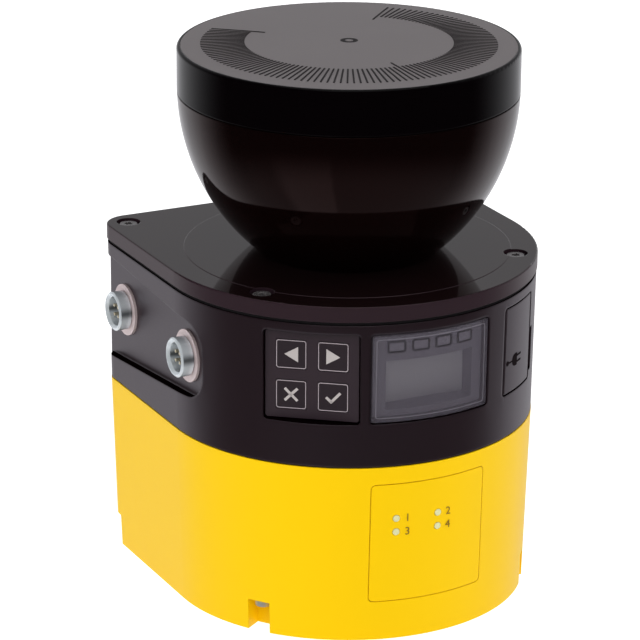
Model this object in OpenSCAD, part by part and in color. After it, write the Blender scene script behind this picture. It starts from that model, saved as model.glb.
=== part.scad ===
// Safety laser scanner: a yellow base with the power electronics, a black housing with
// the operating panel and two sockets, and a glossy hood over the rotating mirror.
// Frame: the scan axis is Z, the front faces -Y, and the base stands on z = 0.

/* [Plan outline] */
// Width of the lid, the widest part of the housing
plan_w = 112; // [108:1:120]
// Distance from the scan axis to the rear face
plan_back = 55.1; // [54:0.1:62]
// Radius of the rear corners of the lid
corner_r = 8; // [7:0.5:10]

/* [Heights] */
// Height of the yellow base
base_h = 54; // [50:1:70]
// Height of the black housing
upper_h = 42.9; // [42:0.1:52]
// Thickness of the lid
lid_h = 4.9; // [4.6:0.1:7]
// Height of the bowl of the optics hood
bowl_h = 47.2; // [46:0.1:54]
// Height of the hood's cap, with its crown
cap_h = 14.6; // [14:0.1:20]

/* [Housing] */
// Wall thickness of the base and the housing
wall = 3; // [2.6:0.1:3.4]
// How far the base's top edge lies inside the lid's edge
base_inset = 0.8; // [0.6:0.1:1.4]
// How far the base's foot lies inside its top edge
base_taper = 1.6; // [1:0.1:2.2]
// How far the housing's top edge lies inside the lid's edge
upper_inset = 0.25; // [0.1:0.05:0.6]
// How far the housing's lower edge lies inside its top edge
upper_taper = 0.65; // [0.2:0.05:1]
// Rounding of the lid's top edge
lid_round = 0.4; // [0.3:0.1:1.5]
// How far the lid's raised round area lies inside the lid's edge
pad_in = 8; // [4.5:0.5:16]
// Height of the raised round area on the lid
pad_rise = 0.15; // [0.1:0.05:0.5]
// Thickness of the seal between the base and the housing
base_seal_t = 0.3; // [0.2:0.1:1]
// Thickness of the seal between the housing and the lid
lid_seal_t = 0.9; // [0.3:0.1:1]
// How far the seals lie inside the housing's edges
seal_inset = 0.5; // [0.3:0.1:0.8]

/* [Screws] */
// Angle of the front lid screws from the front
lid_screw_a = 56; // [54:1:60]
// How far the lid screws lie inside the lid's edge
lid_screw_in = 6.4; // [6:0.1:7]
// Radius of the lid screws' heads
lid_head_r = 3; // [2.6:0.1:3.2]
// Angle of the front foot notches from the front
notch_a = 54.5; // [50:0.5:57]
// Width of a front foot notch
notch_w = 7; // [6.5:0.1:8.5]
// Width of a rear foot notch
rear_notch_w = 10; // [8:0.1:11]
// Height of a foot notch
notch_h = 9.5; // [8:0.5:12]
// How far the base screws lie inside the foot's edge
notch_screw_in = 2.9; // [2.7:0.1:3.1]
// Radius of the housing screws' shanks
screw_r = 1.5; // [1.25:0.05:1.6]
// Length of thread that a housing screw takes up
screw_grip = 9; // [6:0.5:11]
// Gap under the lower screw bosses, above the housing's foot
boss_lift = 0.4; // [0.2:0.1:1]

/* [Rear mounting threads] */
// Distance between the threads across the back
rear_pitch_x = 76; // [60:1:80]
// Distance between the threads up the back
rear_pitch_z = 28; // [24:1:34]
// Height of the lower threads above the foot
rear_low = 13; // [11:0.5:15]
// Radius of the threads' cores
rear_thread_r = 2.1; // [1.6:0.05:2.5]
// Depth of the threads
rear_thread_l = 9; // [7:0.5:11]
// Radius of the bosses round the threads
rear_boss_r = 6; // [5:0.5:7]

/* [Optics hood] */
// Radius of the bowl at its top edge
bowl_r = 49.8; // [46:0.1:52]
// Radius of the bowl where it meets the lid
neck_r = 26.4; // [25.5:0.1:28]
// How far above the bowl's edge its outline turns upright
bowl_turn = 1.8; // [0:0.1:4]
// Wall thickness of the hood
hood_wall = 2.4; // [1.8:0.1:2.8]
// Gap between the bowl and the cap
cap_gap = 0.2; // [0.1:0.05:0.5]
// Rounding of the cap's top edge
cap_round = 0.9; // [0.4:0.1:1.4]
// Height of the top disc's crown
crown = 1.1; // [0.5:0.1:2]
// Radius of the top disc
disc_r = 48.7; // [40:0.1:48.8]
// Thickness of the top disc at its rim
disc_t = 1.2; // [0.8:0.1:1.8]
// Radius of the dimple in the top disc
dimple_r = 2.2; // [1:0.1:4]

/* [Operating panel] */
// Height of the fields for the keys, the display and the service port
field_h = 27.2; // [25:0.1:28]
// Height of the fields' lower edge above the housing's lower edge
field_lift = 13; // [12.5:0.1:14]
// Rounding of the fields' corners
field_round = 1.2; // [0.6:0.1:2]
// Gap between each field's edge and the piece in it
field_gap = 0.5; // [0.2:0.05:0.6]
// Angle that the display's field spans
window_span = 40.2; // [36:0.1:41]
// Thickness of the display window
window_t = 1.8; // [1.2:0.1:2]
// Angle of the keypad's middle from the front
keypad_a = 37.5; // [37:0.1:39]
// Width of the keypad
keypad_w = 28; // [26:0.1:28.4]
// Width and height of a key
key_w = 8.6; // [7:0.1:9.4]
// Distance between the middles of two keys
key_pitch = 12.1; // [11.5:0.1:12.4]
// How far a key goes in
key_travel = 0.4; // [0.2:0.05:0.6]
// Thickness of the keypad's face plate
keypad_t = 2.4; // [2:0.1:3]
// Angle of the service port's middle from the front
port_a = 37.5; // [36:0.5:40]
// Angle that the service port's field spans
port_span = 20; // [19:0.5:22]
// Thickness of the service port's cover
cover_t = 1.6; // [1.2:0.1:1.8]
// Depth of the service port's well
well_d = 8; // [7.5:0.1:9]

/* [Sockets] */
// Distance of the front socket behind the scan axis, negative when before it
socket_y = -3; // [-4:0.1:-2]
// Distance between the two sockets
socket_pitch = 44.8; // [40:0.1:45]
// Height of the sockets above the housing's lower edge
socket_lift = 23.3; // [22:0.1:24]
// Outer radius of the sockets' threads
thread_r = 5.9; // [5.4:0.1:6.2]
// Radius of the sockets' flanges
flange_r = 7.8; // [7.2:0.1:8.4]
// Thickness of the sockets' flanges
flange_t = 0.8; // [0.5:0.1:1.2]
// How far the sockets stand out from their flanges
thread_l = 4; // [3:0.1:6]
// Depth of the side pocket that the sockets stand in
pocket_d = 3; // [2.6:0.1:3.2]

/* [Scan head] */
// Height of the scan plane above the lid
scan_h = 21; // [20:0.5:23]
// Radius of the mirror's outline, seen along the scan axis
mirror_r = 17; // [14:0.5:18]
// Thickness of the mirror
mirror_t = 1.6; // [1:0.1:2.5]
// Radius of the rotor's shaft
shaft_r = 2; // [1.5:0.1:2.4]
// Radius of the encoder disc
encoder_r = 26; // [24:0.5:28]
// Radius of the receiver lens
lens_r = 18.5; // [16:0.5:19]
// Radius of the laser's collimator tube
collimator_r = 4; // [3:0.1:5]

/* [Status plate] */
// Angle that the status plate spans
plate_span = 38.6; // [30:0.1:44]
// Height of the status plate
plate_h = 36.8; // [32:0.1:40]
// Height of the status plate's lower edge
plate_z = 12; // [9:0.1:14]
// Depth of the status plate's seat
plate_t = 1; // [0.6:0.1:1.4]
// Radius of the status lights
light_r = 1; // [0.6:0.1:1.4]

/* [Fits] */
// Gap between pieces that lie flush
gap = 0.2; // [0.12:0.01:0.3]
// Radial clearance of a shaft or pin that turns
running = 0.04; // [0.02:0.01:0.08]
// Clearance between seated pieces
seat = 0.1; // [0.05:0.01:0.2]

/* [Hidden] */
$fn = 96;
SMALL_FN = 48;
EPS = 0.01;

// Heights of the stacked pieces
plan_r = plan_w / 2;
upper_z = base_h + base_seal_t;
upper_top = upper_z + upper_h;
lid_z = upper_top + lid_seal_t;
lid_top = lid_z + lid_h;
bowl_top = lid_top + bowl_h;
cap_z = bowl_top + cap_gap;
top_z = cap_z + cap_h;
rim_z = top_z - crown;

// Centres of the rear corners
corner_x = plan_r - corner_r;
corner_y = plan_back - corner_r;

// Radius of the raised round area on the lid
pad_r = plan_r - pad_in;

// Longer than anything in the part
FAR = 200;

// Insets of the edges from the lid's outline
foot_inset = base_inset + base_taper;
sill_inset = upper_inset + upper_taper;
base_screw_in = foot_inset + notch_screw_in;

// Operating panel
field_z = upper_z + field_lift;
field_mid = field_z + field_h / 2;
face_r = plan_r - sill_inset;
keypad_d = face_r * cos(asin(keypad_w / 2 / face_r)) - 0.5;
keypad_back = keypad_d - keypad_t;
key_body = keypad_t - 0.8;
board_t = 1.6;
plunger_out = 0.4;
plunger_r = 1.6;
key_board_d = keypad_back - plunger_out - key_travel - 0.1;

// Display behind the window
window_in = 0.1;
window_w = 2 * face_r * sin(window_span / 2);
ledge = 1.5;
bezel_w = window_w - 2 * ledge - 2 * gap;
bezel_h = field_h - 2 * ledge - 2 * gap;
lcd_d = face_r - window_in - window_t - 7;
lcd_w = 27.6;
lcd_h = 14.8;
lcd_lift = 3.6;
lcd_t = 2;
lens_w = 5;
lens_h = 4;
lens_step = 7.3;
lens_drop = 4.3;

// Service port
port_w = 2 * face_r * sin(port_span / 2);
well_w = 14;
well_h = field_h - 4;
well_wall = 1.6;
floor_d = face_r - cover_t - well_d;
knuckle_r = cover_t / 2 - 0.05;
pin_r = knuckle_r - 0.3;
pin_l = 1.5;
lean = atan(upper_taper / upper_h);
mid_r = face_r + upper_taper * (field_mid - upper_z) / upper_h;
hinge_r = mid_r - window_in - cover_t / 2;
hinge_x = cover_t / 2 + field_gap - port_w / 2;
hinge_a = port_a + asin(hinge_x / hinge_r);
finger_w = 2.4;
finger_h = 13.5;
finger_d = 2.2;
usb_w = 7.7;
usb_h = 3.9;

// Side pocket and sockets
side_x = plan_r - upper_inset;
pocket_x = side_x - pocket_d;
pocket_back = pocket_x - 2.5;
pocket_r = 8;
pocket_high_a = 3.66;
pocket_low_a = 5.37;
socket_z = upper_z + socket_lift;
pocket_front = socket_y - 3;
pocket_high = socket_z + 12.2;
pocket_low = socket_z - 11.2;
bore_r = thread_r - 1.5;
shank_r = thread_r - 0.5;
shank_x = pocket_x + flange_t + 0.3;
bevel = 0.5;
barrel_l = 12;
nut_t = 2.5;
barrel_face = pocket_x + flange_t + thread_l;
barrel_back = pocket_back - nut_t - 1.5;

// Bottom and boards
cover_bottom_t = 2.5;
bottom_inset = foot_inset + 1.4;
bottom_boss_r = 3.6;
spacer_r = 2.8;
power_z = 14;
main_z = 34;
board_inset = 12.5;
spacer_x = 28;
spacer_front = -18;
spacer_rear = 32;
notch_wall = 1.6;

// Outline arc of the bowl: its centre and its radius
arc_x = (bowl_r + neck_r) / 2 - (bowl_h * bowl_h + 2 * bowl_turn * bowl_h) / (2 * (bowl_r - neck_r));
arc_z = bowl_top + bowl_turn;
arc_r = sqrt(pow(bowl_r - arc_x, 2) + bowl_turn * bowl_turn);
neck_in = arc_x + sqrt(pow(arc_r - hood_wall, 2) - pow(bowl_h + bowl_turn, 2));
collar_h = 2.6;
collar_r = neck_r - 0.6;
seal_h = 0.6;

// Optics under the lid
tube_flange_t = 2.4;
tube_wall = 1.8;
tube_l = 27;
tube_flange_r = lens_r + tube_wall + 5;
hub_r = tube_flange_r + 3;
lens_t = 4.4;

// Scan head
scan_z = lid_top + scan_h;
cap_plate_t = 2.2;
cap_under = rim_z - disc_t - cap_plate_t;
carrier_r = mirror_r + 0.6;
carrier_top = scan_z + carrier_r + 1;
encoder_t = 0.8;
cup_z = carrier_top + encoder_t;
cup_floor = 1.4;
cup_wall = 1.4;
magnet_t = 1.8;
air_gap = 0.4;
stator_r = 14;
magnet_r = stator_r + air_gap + magnet_t;
cup_r = magnet_r + cup_wall;
bearing_r = shaft_r + 2.2;
bearing_t = 2.4;
mount_tube_r = bearing_r + 1.6;
mount_z = cup_z + cup_floor + 0.6;
shaft_top = cap_under - 1.4;
cup_h = cap_under - 3.4 - cup_z;

// Crown of the top disc as part of a sphere
crown_r = (disc_r * disc_r + crown * crown) / (2 * crown);

// ---------- outlines and sweeps ----------

// Plan outline of the housing, drawn in by d
module plan(d = 0) {
    r = plan_r - d;
    c = max(corner_r - d, EPS);
    back = plan_back - d;
    intersection() {
        circle(r = r);
        translate([-r, -r]) square([2 * r, r]);
    }
    translate([-r, 0]) square([2 * r, back - c]);
    translate([-(r - c), 0]) square([2 * (r - c), back]);
    for (s = [-1, 1])
        translate([s * (r - c), back - c]) circle(r = c);
}

// Sweeps a wall section round the plan outline. In the section, x runs outwards from the
// line through the centres of the rear corners, and y is the height.
module sweep_plan() {
    rotate([0, 0, 180])
        rotate_extrude(angle = 180)
            translate([corner_x, 0]) children();
    for (side = [0, 1]) mirror([side, 0, 0])
        translate([corner_x, corner_y, 0]) {
            rotate([90, 0, 0]) linear_extrude(corner_y) children();
            rotate_extrude(angle = 90) children();
        }
    translate([-corner_x, corner_y, 0])
        rotate([90, 0, 90]) linear_extrude(2 * corner_x) children();
}

// Places children at the four screw stations, with -Y of each pointing outwards.
// The children can read $rear, which is true at the two rear corners.
module at_screws(inset, front_a) {
    for (s = [-1, 1]) {
        rotate([0, 0, s * front_a])
            translate([0, -(plan_r - inset), 0]) let($rear = false) children();
        translate([s * corner_x, corner_y, 0]) rotate([0, 0, s * 135])
            translate([0, -(corner_r - inset), 0]) let($rear = true) children();
    }
}

// Turns children from the front to angle a, with their origin on the scan axis
module at_angle(a) {
    rotate([0, 0, a]) children();
}

// Rectangle with round corners, centred
module round_rect(w, h, r) {
    square([w - 2 * r, h], center = true);
    square([w, h - 2 * r], center = true);
    for (x = [-1, 1], y = [-1, 1])
        translate([x * (w / 2 - r), y * (h / 2 - r)]) circle(r = r, $fn = SMALL_FN);
}

// Flat plate that faces the front: w wide, h high, from distance d0 to d1 off the scan axis
module front_plate(w, h, r, d0, d1, z) {
    translate([0, -d0, z]) rotate([90, 0, 0]) linear_extrude(d1 - d0) round_rect(w, h, r);
}

// Vertical hole
module hole(r, z0, z1) {
    translate([0, 0, z0]) cylinder(r = r, h = z1 - z0, $fn = SMALL_FN);
}

// Cylinder that points to the left side, from x0 out to x1
module left_rod(r, x0, x1) {
    translate([-x0, 0, 0]) rotate([0, -90, 0]) cylinder(r = r, h = x1 - x0, $fn = SMALL_FN);
}

// Places children at the two sockets
module at_sockets() {
    for (i = [0, 1])
        translate([0, socket_y + i * socket_pitch, socket_z]) children();
}

// ---------- base ----------

module wall_section(z0, z1, in0, in1) {
    polygon([
        [corner_r - in0 - wall, z0], [corner_r - in0, z0],
        [corner_r - in1, z1], [corner_r - in1 - wall, z1]
    ]);
}

// Room for a base screw's head, cut into the foot
module foot_notch(grow, h) {
    w = ($rear ? rear_notch_w : notch_w) + 2 * grow;
    translate([-w / 2, -12, -1]) cube([w, 12 + notch_screw_in + grow, h + 1]);
}

// Inner bosses that take the bottom cover's screws
module at_bottom_bosses() {
    reach = plan_r - foot_inset - wall - 2.4;
    for (s = [-1, 1]) {
        translate([s * reach, 8, 0]) children();
        translate([s * 20, plan_back - foot_inset - wall - 2.4, 0]) children();
    }
    translate([0, -reach, 0]) children();
}

module at_rear_threads() {
    for (x = [-1, 1], z = [0, 1])
        translate([x * rear_pitch_x / 2, plan_back, rear_low + z * rear_pitch_z])
            rotate([90, 0, 0]) children();
}

module base_housing() {
    color("gold") difference() {
        union() {
            difference() {
                sweep_plan() wall_section(0, base_h, foot_inset, base_inset);
                translate([0, 0, -1]) linear_extrude(cover_bottom_t + 1) plan(bottom_inset);
            }
            at_screws(base_screw_in, notch_a)
                translate([0, 0, notch_h]) cylinder(r = notch_screw_in, h = base_h - notch_h, $fn = SMALL_FN);
            intersection() {
                at_screws(base_screw_in, notch_a) foot_notch(notch_wall, notch_h + notch_wall);
                linear_extrude(notch_h + notch_wall) plan(foot_inset + 0.4);
            }
            at_bottom_bosses()
                translate([0, 0, cover_bottom_t]) cylinder(r = bottom_boss_r, h = 9, $fn = SMALL_FN);
            at_rear_threads()
                cylinder(r = rear_boss_r, h = rear_thread_l + 3);
        }
        at_screws(base_screw_in, notch_a) {
            foot_notch(0, notch_h);
            hole(screw_r + seat, notch_h - 1, base_h + 1);
        }
        at_bottom_bosses() hole(1.3, 0, cover_bottom_t + 8);
        at_rear_threads() translate([0, 0, -1])
            cylinder(r = rear_thread_r, h = rear_thread_l + 1, $fn = SMALL_FN);
        status_seat();
    }
}

// The seat follows the base's tapered front
module status_seat() {
    w = 2 * (plan_r - base_inset) * sin(plate_span / 2);
    difference() {
        front_plate(w, plate_h, 1.5, 30, plan_r + 5, plate_z + plate_h / 2);
        base_cone(plate_t);
    }
}

// The base's front as a cone, drawn in by d
module base_cone(d) {
    cylinder(r1 = plan_r - foot_inset - d, r2 = plan_r - base_inset - d, h = base_h);
}

// Places children at the status lights, pointing out of the status plate
module at_status_lights() {
    for (a = [-11.4, 2.2], z = [0, 4.2])
        rotate([0, 0, a])
            translate([0, 0, plate_z + 0.59 * plate_h + z]) rotate([90, 0, 0]) children();
}

module status_plate() {
    w = 2 * (plan_r - base_inset) * sin(plate_span / 2) - 2 * gap;
    color("gold") difference() {
        intersection() {
            front_plate(w, plate_h - 2 * gap, 1.5 - gap, 30, plan_r + 5, plate_z + plate_h / 2);
            difference() {
                base_cone(0);
                base_cone(plate_t);
            }
        }
        at_status_lights() cylinder(r = light_r + seat, h = plan_r + 5, $fn = SMALL_FN);
    }
}

module status_lights() {
    color("lightyellow") intersection() {
        at_status_lights() cylinder(r = light_r, h = plan_r + 5, $fn = SMALL_FN);
        difference() {
            base_cone(-0.1);
            base_cone(plate_t);
        }
    }
}

module bottom_cover() {
    color("dimgray") difference() {
        linear_extrude(cover_bottom_t) plan(bottom_inset + gap);
        at_screws(base_screw_in, notch_a) foot_notch(notch_wall + gap, notch_h);
        at_bottom_bosses() {
            hole(screw_r + seat, -1, cover_bottom_t + 1);
            hole(3 + seat, -1, 1);
        }
    }
}

module bottom_screws() {
    color("silver") at_bottom_bosses() {
        hole(3, 0.1, 1);
        hole(1.2, 0.1, cover_bottom_t + 6);
    }
}

module base_screws() {
    color("silver") at_screws(base_screw_in, notch_a) {
        difference() {
            hole(notch_screw_in - 0.4, notch_h - 2, notch_h);
            translate([0, 0, notch_h - 2.1]) cylinder(r = 1.2, h = 1.1, $fn = 6);
        }
        hole(screw_r, notch_h - 0.5, upper_z + screw_grip);
    }
}

module base_seal() {
    color("black") translate([0, 0, base_h]) difference() {
        linear_extrude(base_seal_t) difference() {
            plan(base_inset + seal_inset);
            plan(base_inset + wall);
        }
        at_screws(base_screw_in, notch_a) hole(screw_r + seat, -1, base_seal_t + 1);
    }
}

// ---------- black housing ----------

// The housing's front as a cone, drawn in by d
module upper_cone(d) {
    translate([0, 0, upper_z])
        cylinder(r1 = plan_r - sill_inset - d, r2 = plan_r - upper_inset - d, h = upper_h);
}

// Shell of the housing's front, from d0 to d1 below the surface, cut out by a
// straight-sided window w wide and h high round the middle of the fields
module front_shell(d0, d1, w, h, r) {
    difference() {
        intersection() {
            upper_cone(d0);
            front_plate(w, h, r, 30, plan_r + 5, field_mid);
        }
        upper_cone(d1);
    }
}

// Outline of the side pocket, seen from the left, from the rear edge to the front socket
module pocket_outline() {
    front = pocket_front - pocket_r;
    rear = plan_back + 5;
    run = rear - pocket_front;
    polygon([
        [front, pocket_high - pocket_r], [front, pocket_low + pocket_r], [pocket_front, pocket_low],
        [rear, pocket_low - run * tan(pocket_low_a)],
        [rear, pocket_high + run * tan(pocket_high_a)], [pocket_front, pocket_high]
    ]);
    for (z = [pocket_high - pocket_r, pocket_low + pocket_r])
        translate([pocket_front, z]) circle(r = pocket_r);
}

module pocket_cut() {
    translate([-pocket_x, 0, 0]) rotate([90, 0, -90]) linear_extrude(20) mirror([1, 0]) pocket_outline();
}

module upper_housing() {
    color("#3a3539") difference() {
        union() {
            sweep_plan() wall_section(upper_z, upper_top, sill_inset, upper_inset);
            socket_pad();
            keypad_pad();
            port_pad();
            at_screws(base_screw_in, notch_a)
                translate([0, 0, upper_z + boss_lift])
                    cylinder(r = notch_screw_in + 0.4, h = screw_grip + 2 - boss_lift, $fn = SMALL_FN);
            at_screws(lid_screw_in, lid_screw_a)
                translate([0, 0, upper_top - screw_grip - 1])
                    cylinder(r = lid_screw_in - upper_inset - wall + 1.4, h = screw_grip + 1, $fn = SMALL_FN);
        }
        pocket_cut();
        at_screws(base_screw_in, notch_a) hole(screw_r, upper_z - 1, upper_z + screw_grip + 1);
        at_screws(lid_screw_in, lid_screw_a) hole(screw_r, upper_top - screw_grip, upper_top + 1);
        at_sockets() left_rod(shank_r + seat, pocket_back - 5, side_x + 5);
        keypad_cut();
        display_cut();
        port_cut();
    }
}

// Thicker wall behind the side pocket
module socket_pad() {
    front = socket_y - 13;
    translate([-pocket_x - EPS, front, upper_z + 3])
        cube([pocket_x + EPS - pocket_back, plan_back - upper_inset - 1 - front, upper_h - 5]);
}

// Flat-fronted frame round the keypad
module keypad_pad() {
    at_angle(-keypad_a) intersection() {
        front_plate(keypad_w + 1, field_h + 3, 1, keypad_back - 1.2, face_r + 5, field_mid);
        upper_cone(1);
    }
}

module keypad_cut() {
    at_angle(-keypad_a) {
        front_plate(keypad_w, field_h, field_round, keypad_back, plan_r + 5, field_mid);
        front_plate(keypad_w - 2.4, field_h - 2.4, 0.6, keypad_back - 5, plan_r, field_mid);
    }
}

module display_cut() {
    front_shell(-5, window_in + window_t, window_w, field_h, field_round);
    front_plate(window_w - 2 * ledge, field_h - 2 * ledge, 1, 40, plan_r, field_mid);
}

// Block round the service port's well
module port_pad() {
    at_angle(port_a) intersection() {
        translate([finger_w / 2, 0, 0])
            front_plate(port_w + finger_w + 2, field_h + 2, 1, floor_d - well_wall, face_r, field_mid);
        upper_cone(1);
    }
}

module port_cut() {
    at_angle(port_a) {
        front_shell(-5, window_in + cover_t + gap, port_w, field_h, field_round);
        front_plate(well_w, well_h, 1, floor_d, plan_r, field_mid);
        front_plate(usb_w + 2 * seat, usb_h + 2 * seat, 0.5, floor_d - 5, plan_r, field_mid);
        translate([port_w / 2, 0, 0])
            front_plate(2 * finger_w, finger_h, 0.8, face_r * cos(port_span / 2) - finger_d, plan_r, field_z + 9);
    }
    at_port_hinge()
        cylinder(r = pin_r + running, h = field_h + 2 * pin_l, center = true, $fn = SMALL_FN);
}

// Places children on the port cover's hinge line, which leans with the housing's front
module at_port_hinge() {
    at_angle(hinge_a) translate([0, -hinge_r, field_mid]) rotate([lean, 0, 0]) children();
}

module lid_seal() {
    color("black") translate([0, 0, upper_top]) difference() {
        linear_extrude(lid_seal_t) difference() {
            plan(upper_inset + seal_inset);
            difference() {
                plan(upper_inset + wall);
                at_screws(lid_screw_in, lid_screw_a) circle(r = lid_screw_in - upper_inset - wall + 1.4);
            }
        }
        at_screws(lid_screw_in, lid_screw_a) hole(screw_r + seat, -1, lid_seal_t + 1);
    }
}

// ---------- lid ----------

// Section of what the lid's rim loses: the rounding on top and a small bevel below
module lid_rim_cut() {
    top = lid_top - pad_rise;
    e = corner_r;
    difference() {
        translate([e - lid_round, top - lid_round]) square(lid_round + 1);
        translate([e - lid_round, top - lid_round]) circle(r = lid_round, $fn = SMALL_FN);
    }
    polygon([[e - 0.3, lid_z - 0.1], [e + 1, lid_z - 0.1], [e + 1, lid_z + 1.3], [e - 0.3, lid_z]]);
}

module housing_lid() {
    under = 1.9;
    top = lid_top - pad_rise;
    color("#2e2a2d") difference() {
        union() {
            translate([0, 0, lid_z]) linear_extrude(top - lid_z) plan();
            translate([0, 0, top - 0.5]) cylinder(r1 = pad_r + 0.5 + pad_rise, r2 = pad_r, h = 0.5 + pad_rise);
        }
        sweep_plan() lid_rim_cut();
        translate([0, 0, lid_z - 1]) linear_extrude(under + 1) difference() {
            plan(upper_inset + wall + 0.5);
            circle(r = hub_r);
            at_screws(lid_screw_in, lid_screw_a) circle(r = lid_screw_in - upper_inset - wall + 1.4);
        }
        hole(collar_r + seat, lid_top - collar_h - seal_h, lid_top + 1);
        hole(lens_r + 1, lid_z - 1, lid_top);
        at_screws(lid_screw_in, lid_screw_a) {
            hole(screw_r + seat, lid_z - 1, lid_top + 1);
            hole(lid_head_r + 0.6, top - 2, lid_top + 1);
        }
    }
}

module lid_screws() {
    head_z = lid_top - pad_rise - 2;
    color("dimgray") at_screws(lid_screw_in, lid_screw_a) difference() {
        union() {
            translate([0, 0, head_z]) cylinder(r1 = lid_head_r, r2 = lid_head_r - 0.4, h = 1.5, $fn = SMALL_FN);
            hole(screw_r - seat, upper_top - screw_grip + 0.5, head_z + 0.5);
        }
        translate([0, 0, head_z + 0.5]) for (i = [0:5]) rotate([0, 0, 60 * i])
            translate([0.85, 0, 0]) cylinder(r = 0.45, h = 2, $fn = 16);
        hole(1, head_z + 0.5, head_z + 3);
    }
}

// ---------- side sockets ----------

module socket_barrels() {
    color("silver") at_sockets() difference() {
        union() {
            left_rod(shank_r, barrel_back, shank_x + EPS);
            left_rod(thread_r, shank_x, barrel_face - bevel);
            translate([-(barrel_face - bevel), 0, 0]) rotate([0, -90, 0])
                cylinder(r1 = thread_r, r2 = thread_r - bevel, h = bevel, $fn = SMALL_FN);
        }
        left_rod(bore_r, barrel_face - 7, barrel_face + 1);
        left_rod(bore_r - 0.6, barrel_back - 1, barrel_face);
        translate([-(barrel_face - 0.8), 0, 0]) rotate([0, -90, 0])
            cylinder(r1 = bore_r, r2 = bore_r + 0.9, h = 0.9, $fn = SMALL_FN);
    }
}

module socket_flanges() {
    color("#d9c9c6") at_sockets() difference() {
        left_rod(flange_r, pocket_x, pocket_x + flange_t);
        left_rod(shank_r + seat, pocket_x - 1, pocket_x + flange_t + 1);
    }
}

module socket_nuts() {
    color("silver") at_sockets() difference() {
        translate([-pocket_back, 0, 0]) rotate([0, 90, 0]) cylinder(r = 8, h = nut_t, $fn = 6);
        left_rod(shank_r + seat, pocket_back - nut_t - 1, pocket_back + 1);
    }
}

module socket_inserts() {
    color("#2a2a2a") at_sockets() difference() {
        left_rod(bore_r - 0.6 - seat, barrel_back, barrel_face - 5);
        for (a = [45:90:315]) rotate([a, 0, 0]) translate([0, 2, 0])
            left_rod(0.5 + seat, barrel_back - 1, barrel_face);
    }
}

module socket_contacts() {
    color("gold") at_sockets()
        for (a = [45:90:315]) rotate([a, 0, 0]) translate([0, 2, 0])
            left_rod(0.5, barrel_back, barrel_face - 1.2);
}

module socket_board() {
    front = socket_y - 9;
    l = socket_pitch + 16;
    color("darkgreen") translate([-barrel_back, front, socket_z - 8.5])
        cube([board_t, l, 17]);
}

// ---------- operating panel ----------

// Places children at key i, k of the keypad's two columns and two rows
module at_key(i, k) {
    at_angle(-keypad_a)
        translate([(i - 0.5) * key_pitch, -keypad_d, field_mid + (k - 0.5) * key_pitch])
            rotate([90, 0, 0]) children();
}

module keypad_plate() {
    color("#3d383c") difference() {
        at_angle(-keypad_a)
            front_plate(
                keypad_w - 2 * field_gap, field_h - 2 * field_gap, field_round - field_gap,
                keypad_back, keypad_d, field_mid
            );
        for (i = [0, 1], k = [0, 1]) at_key(i, k) {
            translate([0, 0, -key_body - gap]) linear_extrude(10)
                round_rect(key_w + 2 * gap, key_w + 2 * gap, 0.6 + gap);
            translate([0, 0, -10]) cylinder(r = plunger_r + gap, h = 20, $fn = SMALL_FN);
        }
    }
}

// A key: a square pad with a plunger that reaches the switch behind it
module key(i, k) {
    at_key(i, k) {
        translate([0, 0, -(key_body - key_travel)]) linear_extrude(key_body - key_travel)
            round_rect(key_w, key_w, 0.6);
        translate([0, 0, -keypad_t - plunger_out]) cylinder(r = plunger_r, h = keypad_t, $fn = SMALL_FN);
    }
}

module key_left() { color("#413c40") key(0, 1); }
module key_right() { color("#413c40") key(1, 1); }
module key_cancel() { color("#413c40") key(0, 0); }
module key_confirm() { color("#413c40") key(1, 0); }

module key_board() {
    switch_t = 1;
    back = key_board_d - switch_t;
    color("darkgreen") {
        at_angle(-keypad_a)
            front_plate(keypad_w - 2.4 - 2 * gap, field_h - 2.4 - 2 * gap, 0.6, back - board_t, back, field_mid);
        for (i = [0, 1], k = [0, 1]) at_key(i, k)
            translate([0, 0, back - keypad_d - EPS]) cylinder(r = 2, h = switch_t + EPS, $fn = SMALL_FN);
    }
}

module display_window() {
    color("#55505a", 0.6)
        front_shell(
            window_in, window_in + window_t,
            window_w - 2 * field_gap, field_h - 2 * field_gap, field_round - field_gap
        );
}

// Carrier behind the window: it frames the LCD and the four status lenses
module display_bezel() {
    color("#4a464c") difference() {
        intersection() {
            front_plate(bezel_w, bezel_h, 0.4, lcd_d, plan_r, field_mid);
            upper_cone(window_in + window_t + seat);
        }
        front_plate(lcd_w, lcd_h, 0.3, 30, plan_r, field_z + lcd_lift + lcd_h / 2);
        at_status_lenses(seat);
    }
}

// Blocks at the four status lenses, grown by g all round
module at_status_lenses(g) {
    for (i = [-1.5:1:1.5]) translate([i * lens_step, 0, 0])
        front_plate(lens_w + 2 * g, lens_h + 2 * g, 0.4, lcd_d - g, plan_r, field_z + field_h - lens_drop);
}

module status_lenses() {
    color("#6a666c") intersection() {
        at_status_lenses(0);
        upper_cone(window_in + window_t + seat);
    }
}

module lcd_module() {
    color("#8f9a8a") front_plate(bezel_w, bezel_h, 0.4, lcd_d - lcd_t, lcd_d, field_mid);
}

// ---------- service port ----------

// The cover turns on two short pins at its left edge
module port_cover() {
    low = field_z + field_gap;
    high = field_z + field_h - field_gap;
    color("#3a3539") {
        intersection() {
            at_angle(port_a)
                front_shell(
                    window_in, window_in + cover_t,
                    port_w - 2 * field_gap, high - low, field_round - field_gap
                );
            at_angle(port_a)
                translate([hinge_x, -plan_r - 5, low - 1]) cube([port_w, plan_r, high - low + 2]);
        }
        at_port_hinge() {
            cylinder(r = knuckle_r, h = high - low, center = true, $fn = SMALL_FN);
            cylinder(r = pin_r, h = high - low + 2 * pin_l, center = true, $fn = SMALL_FN);
        }
    }
}

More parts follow.
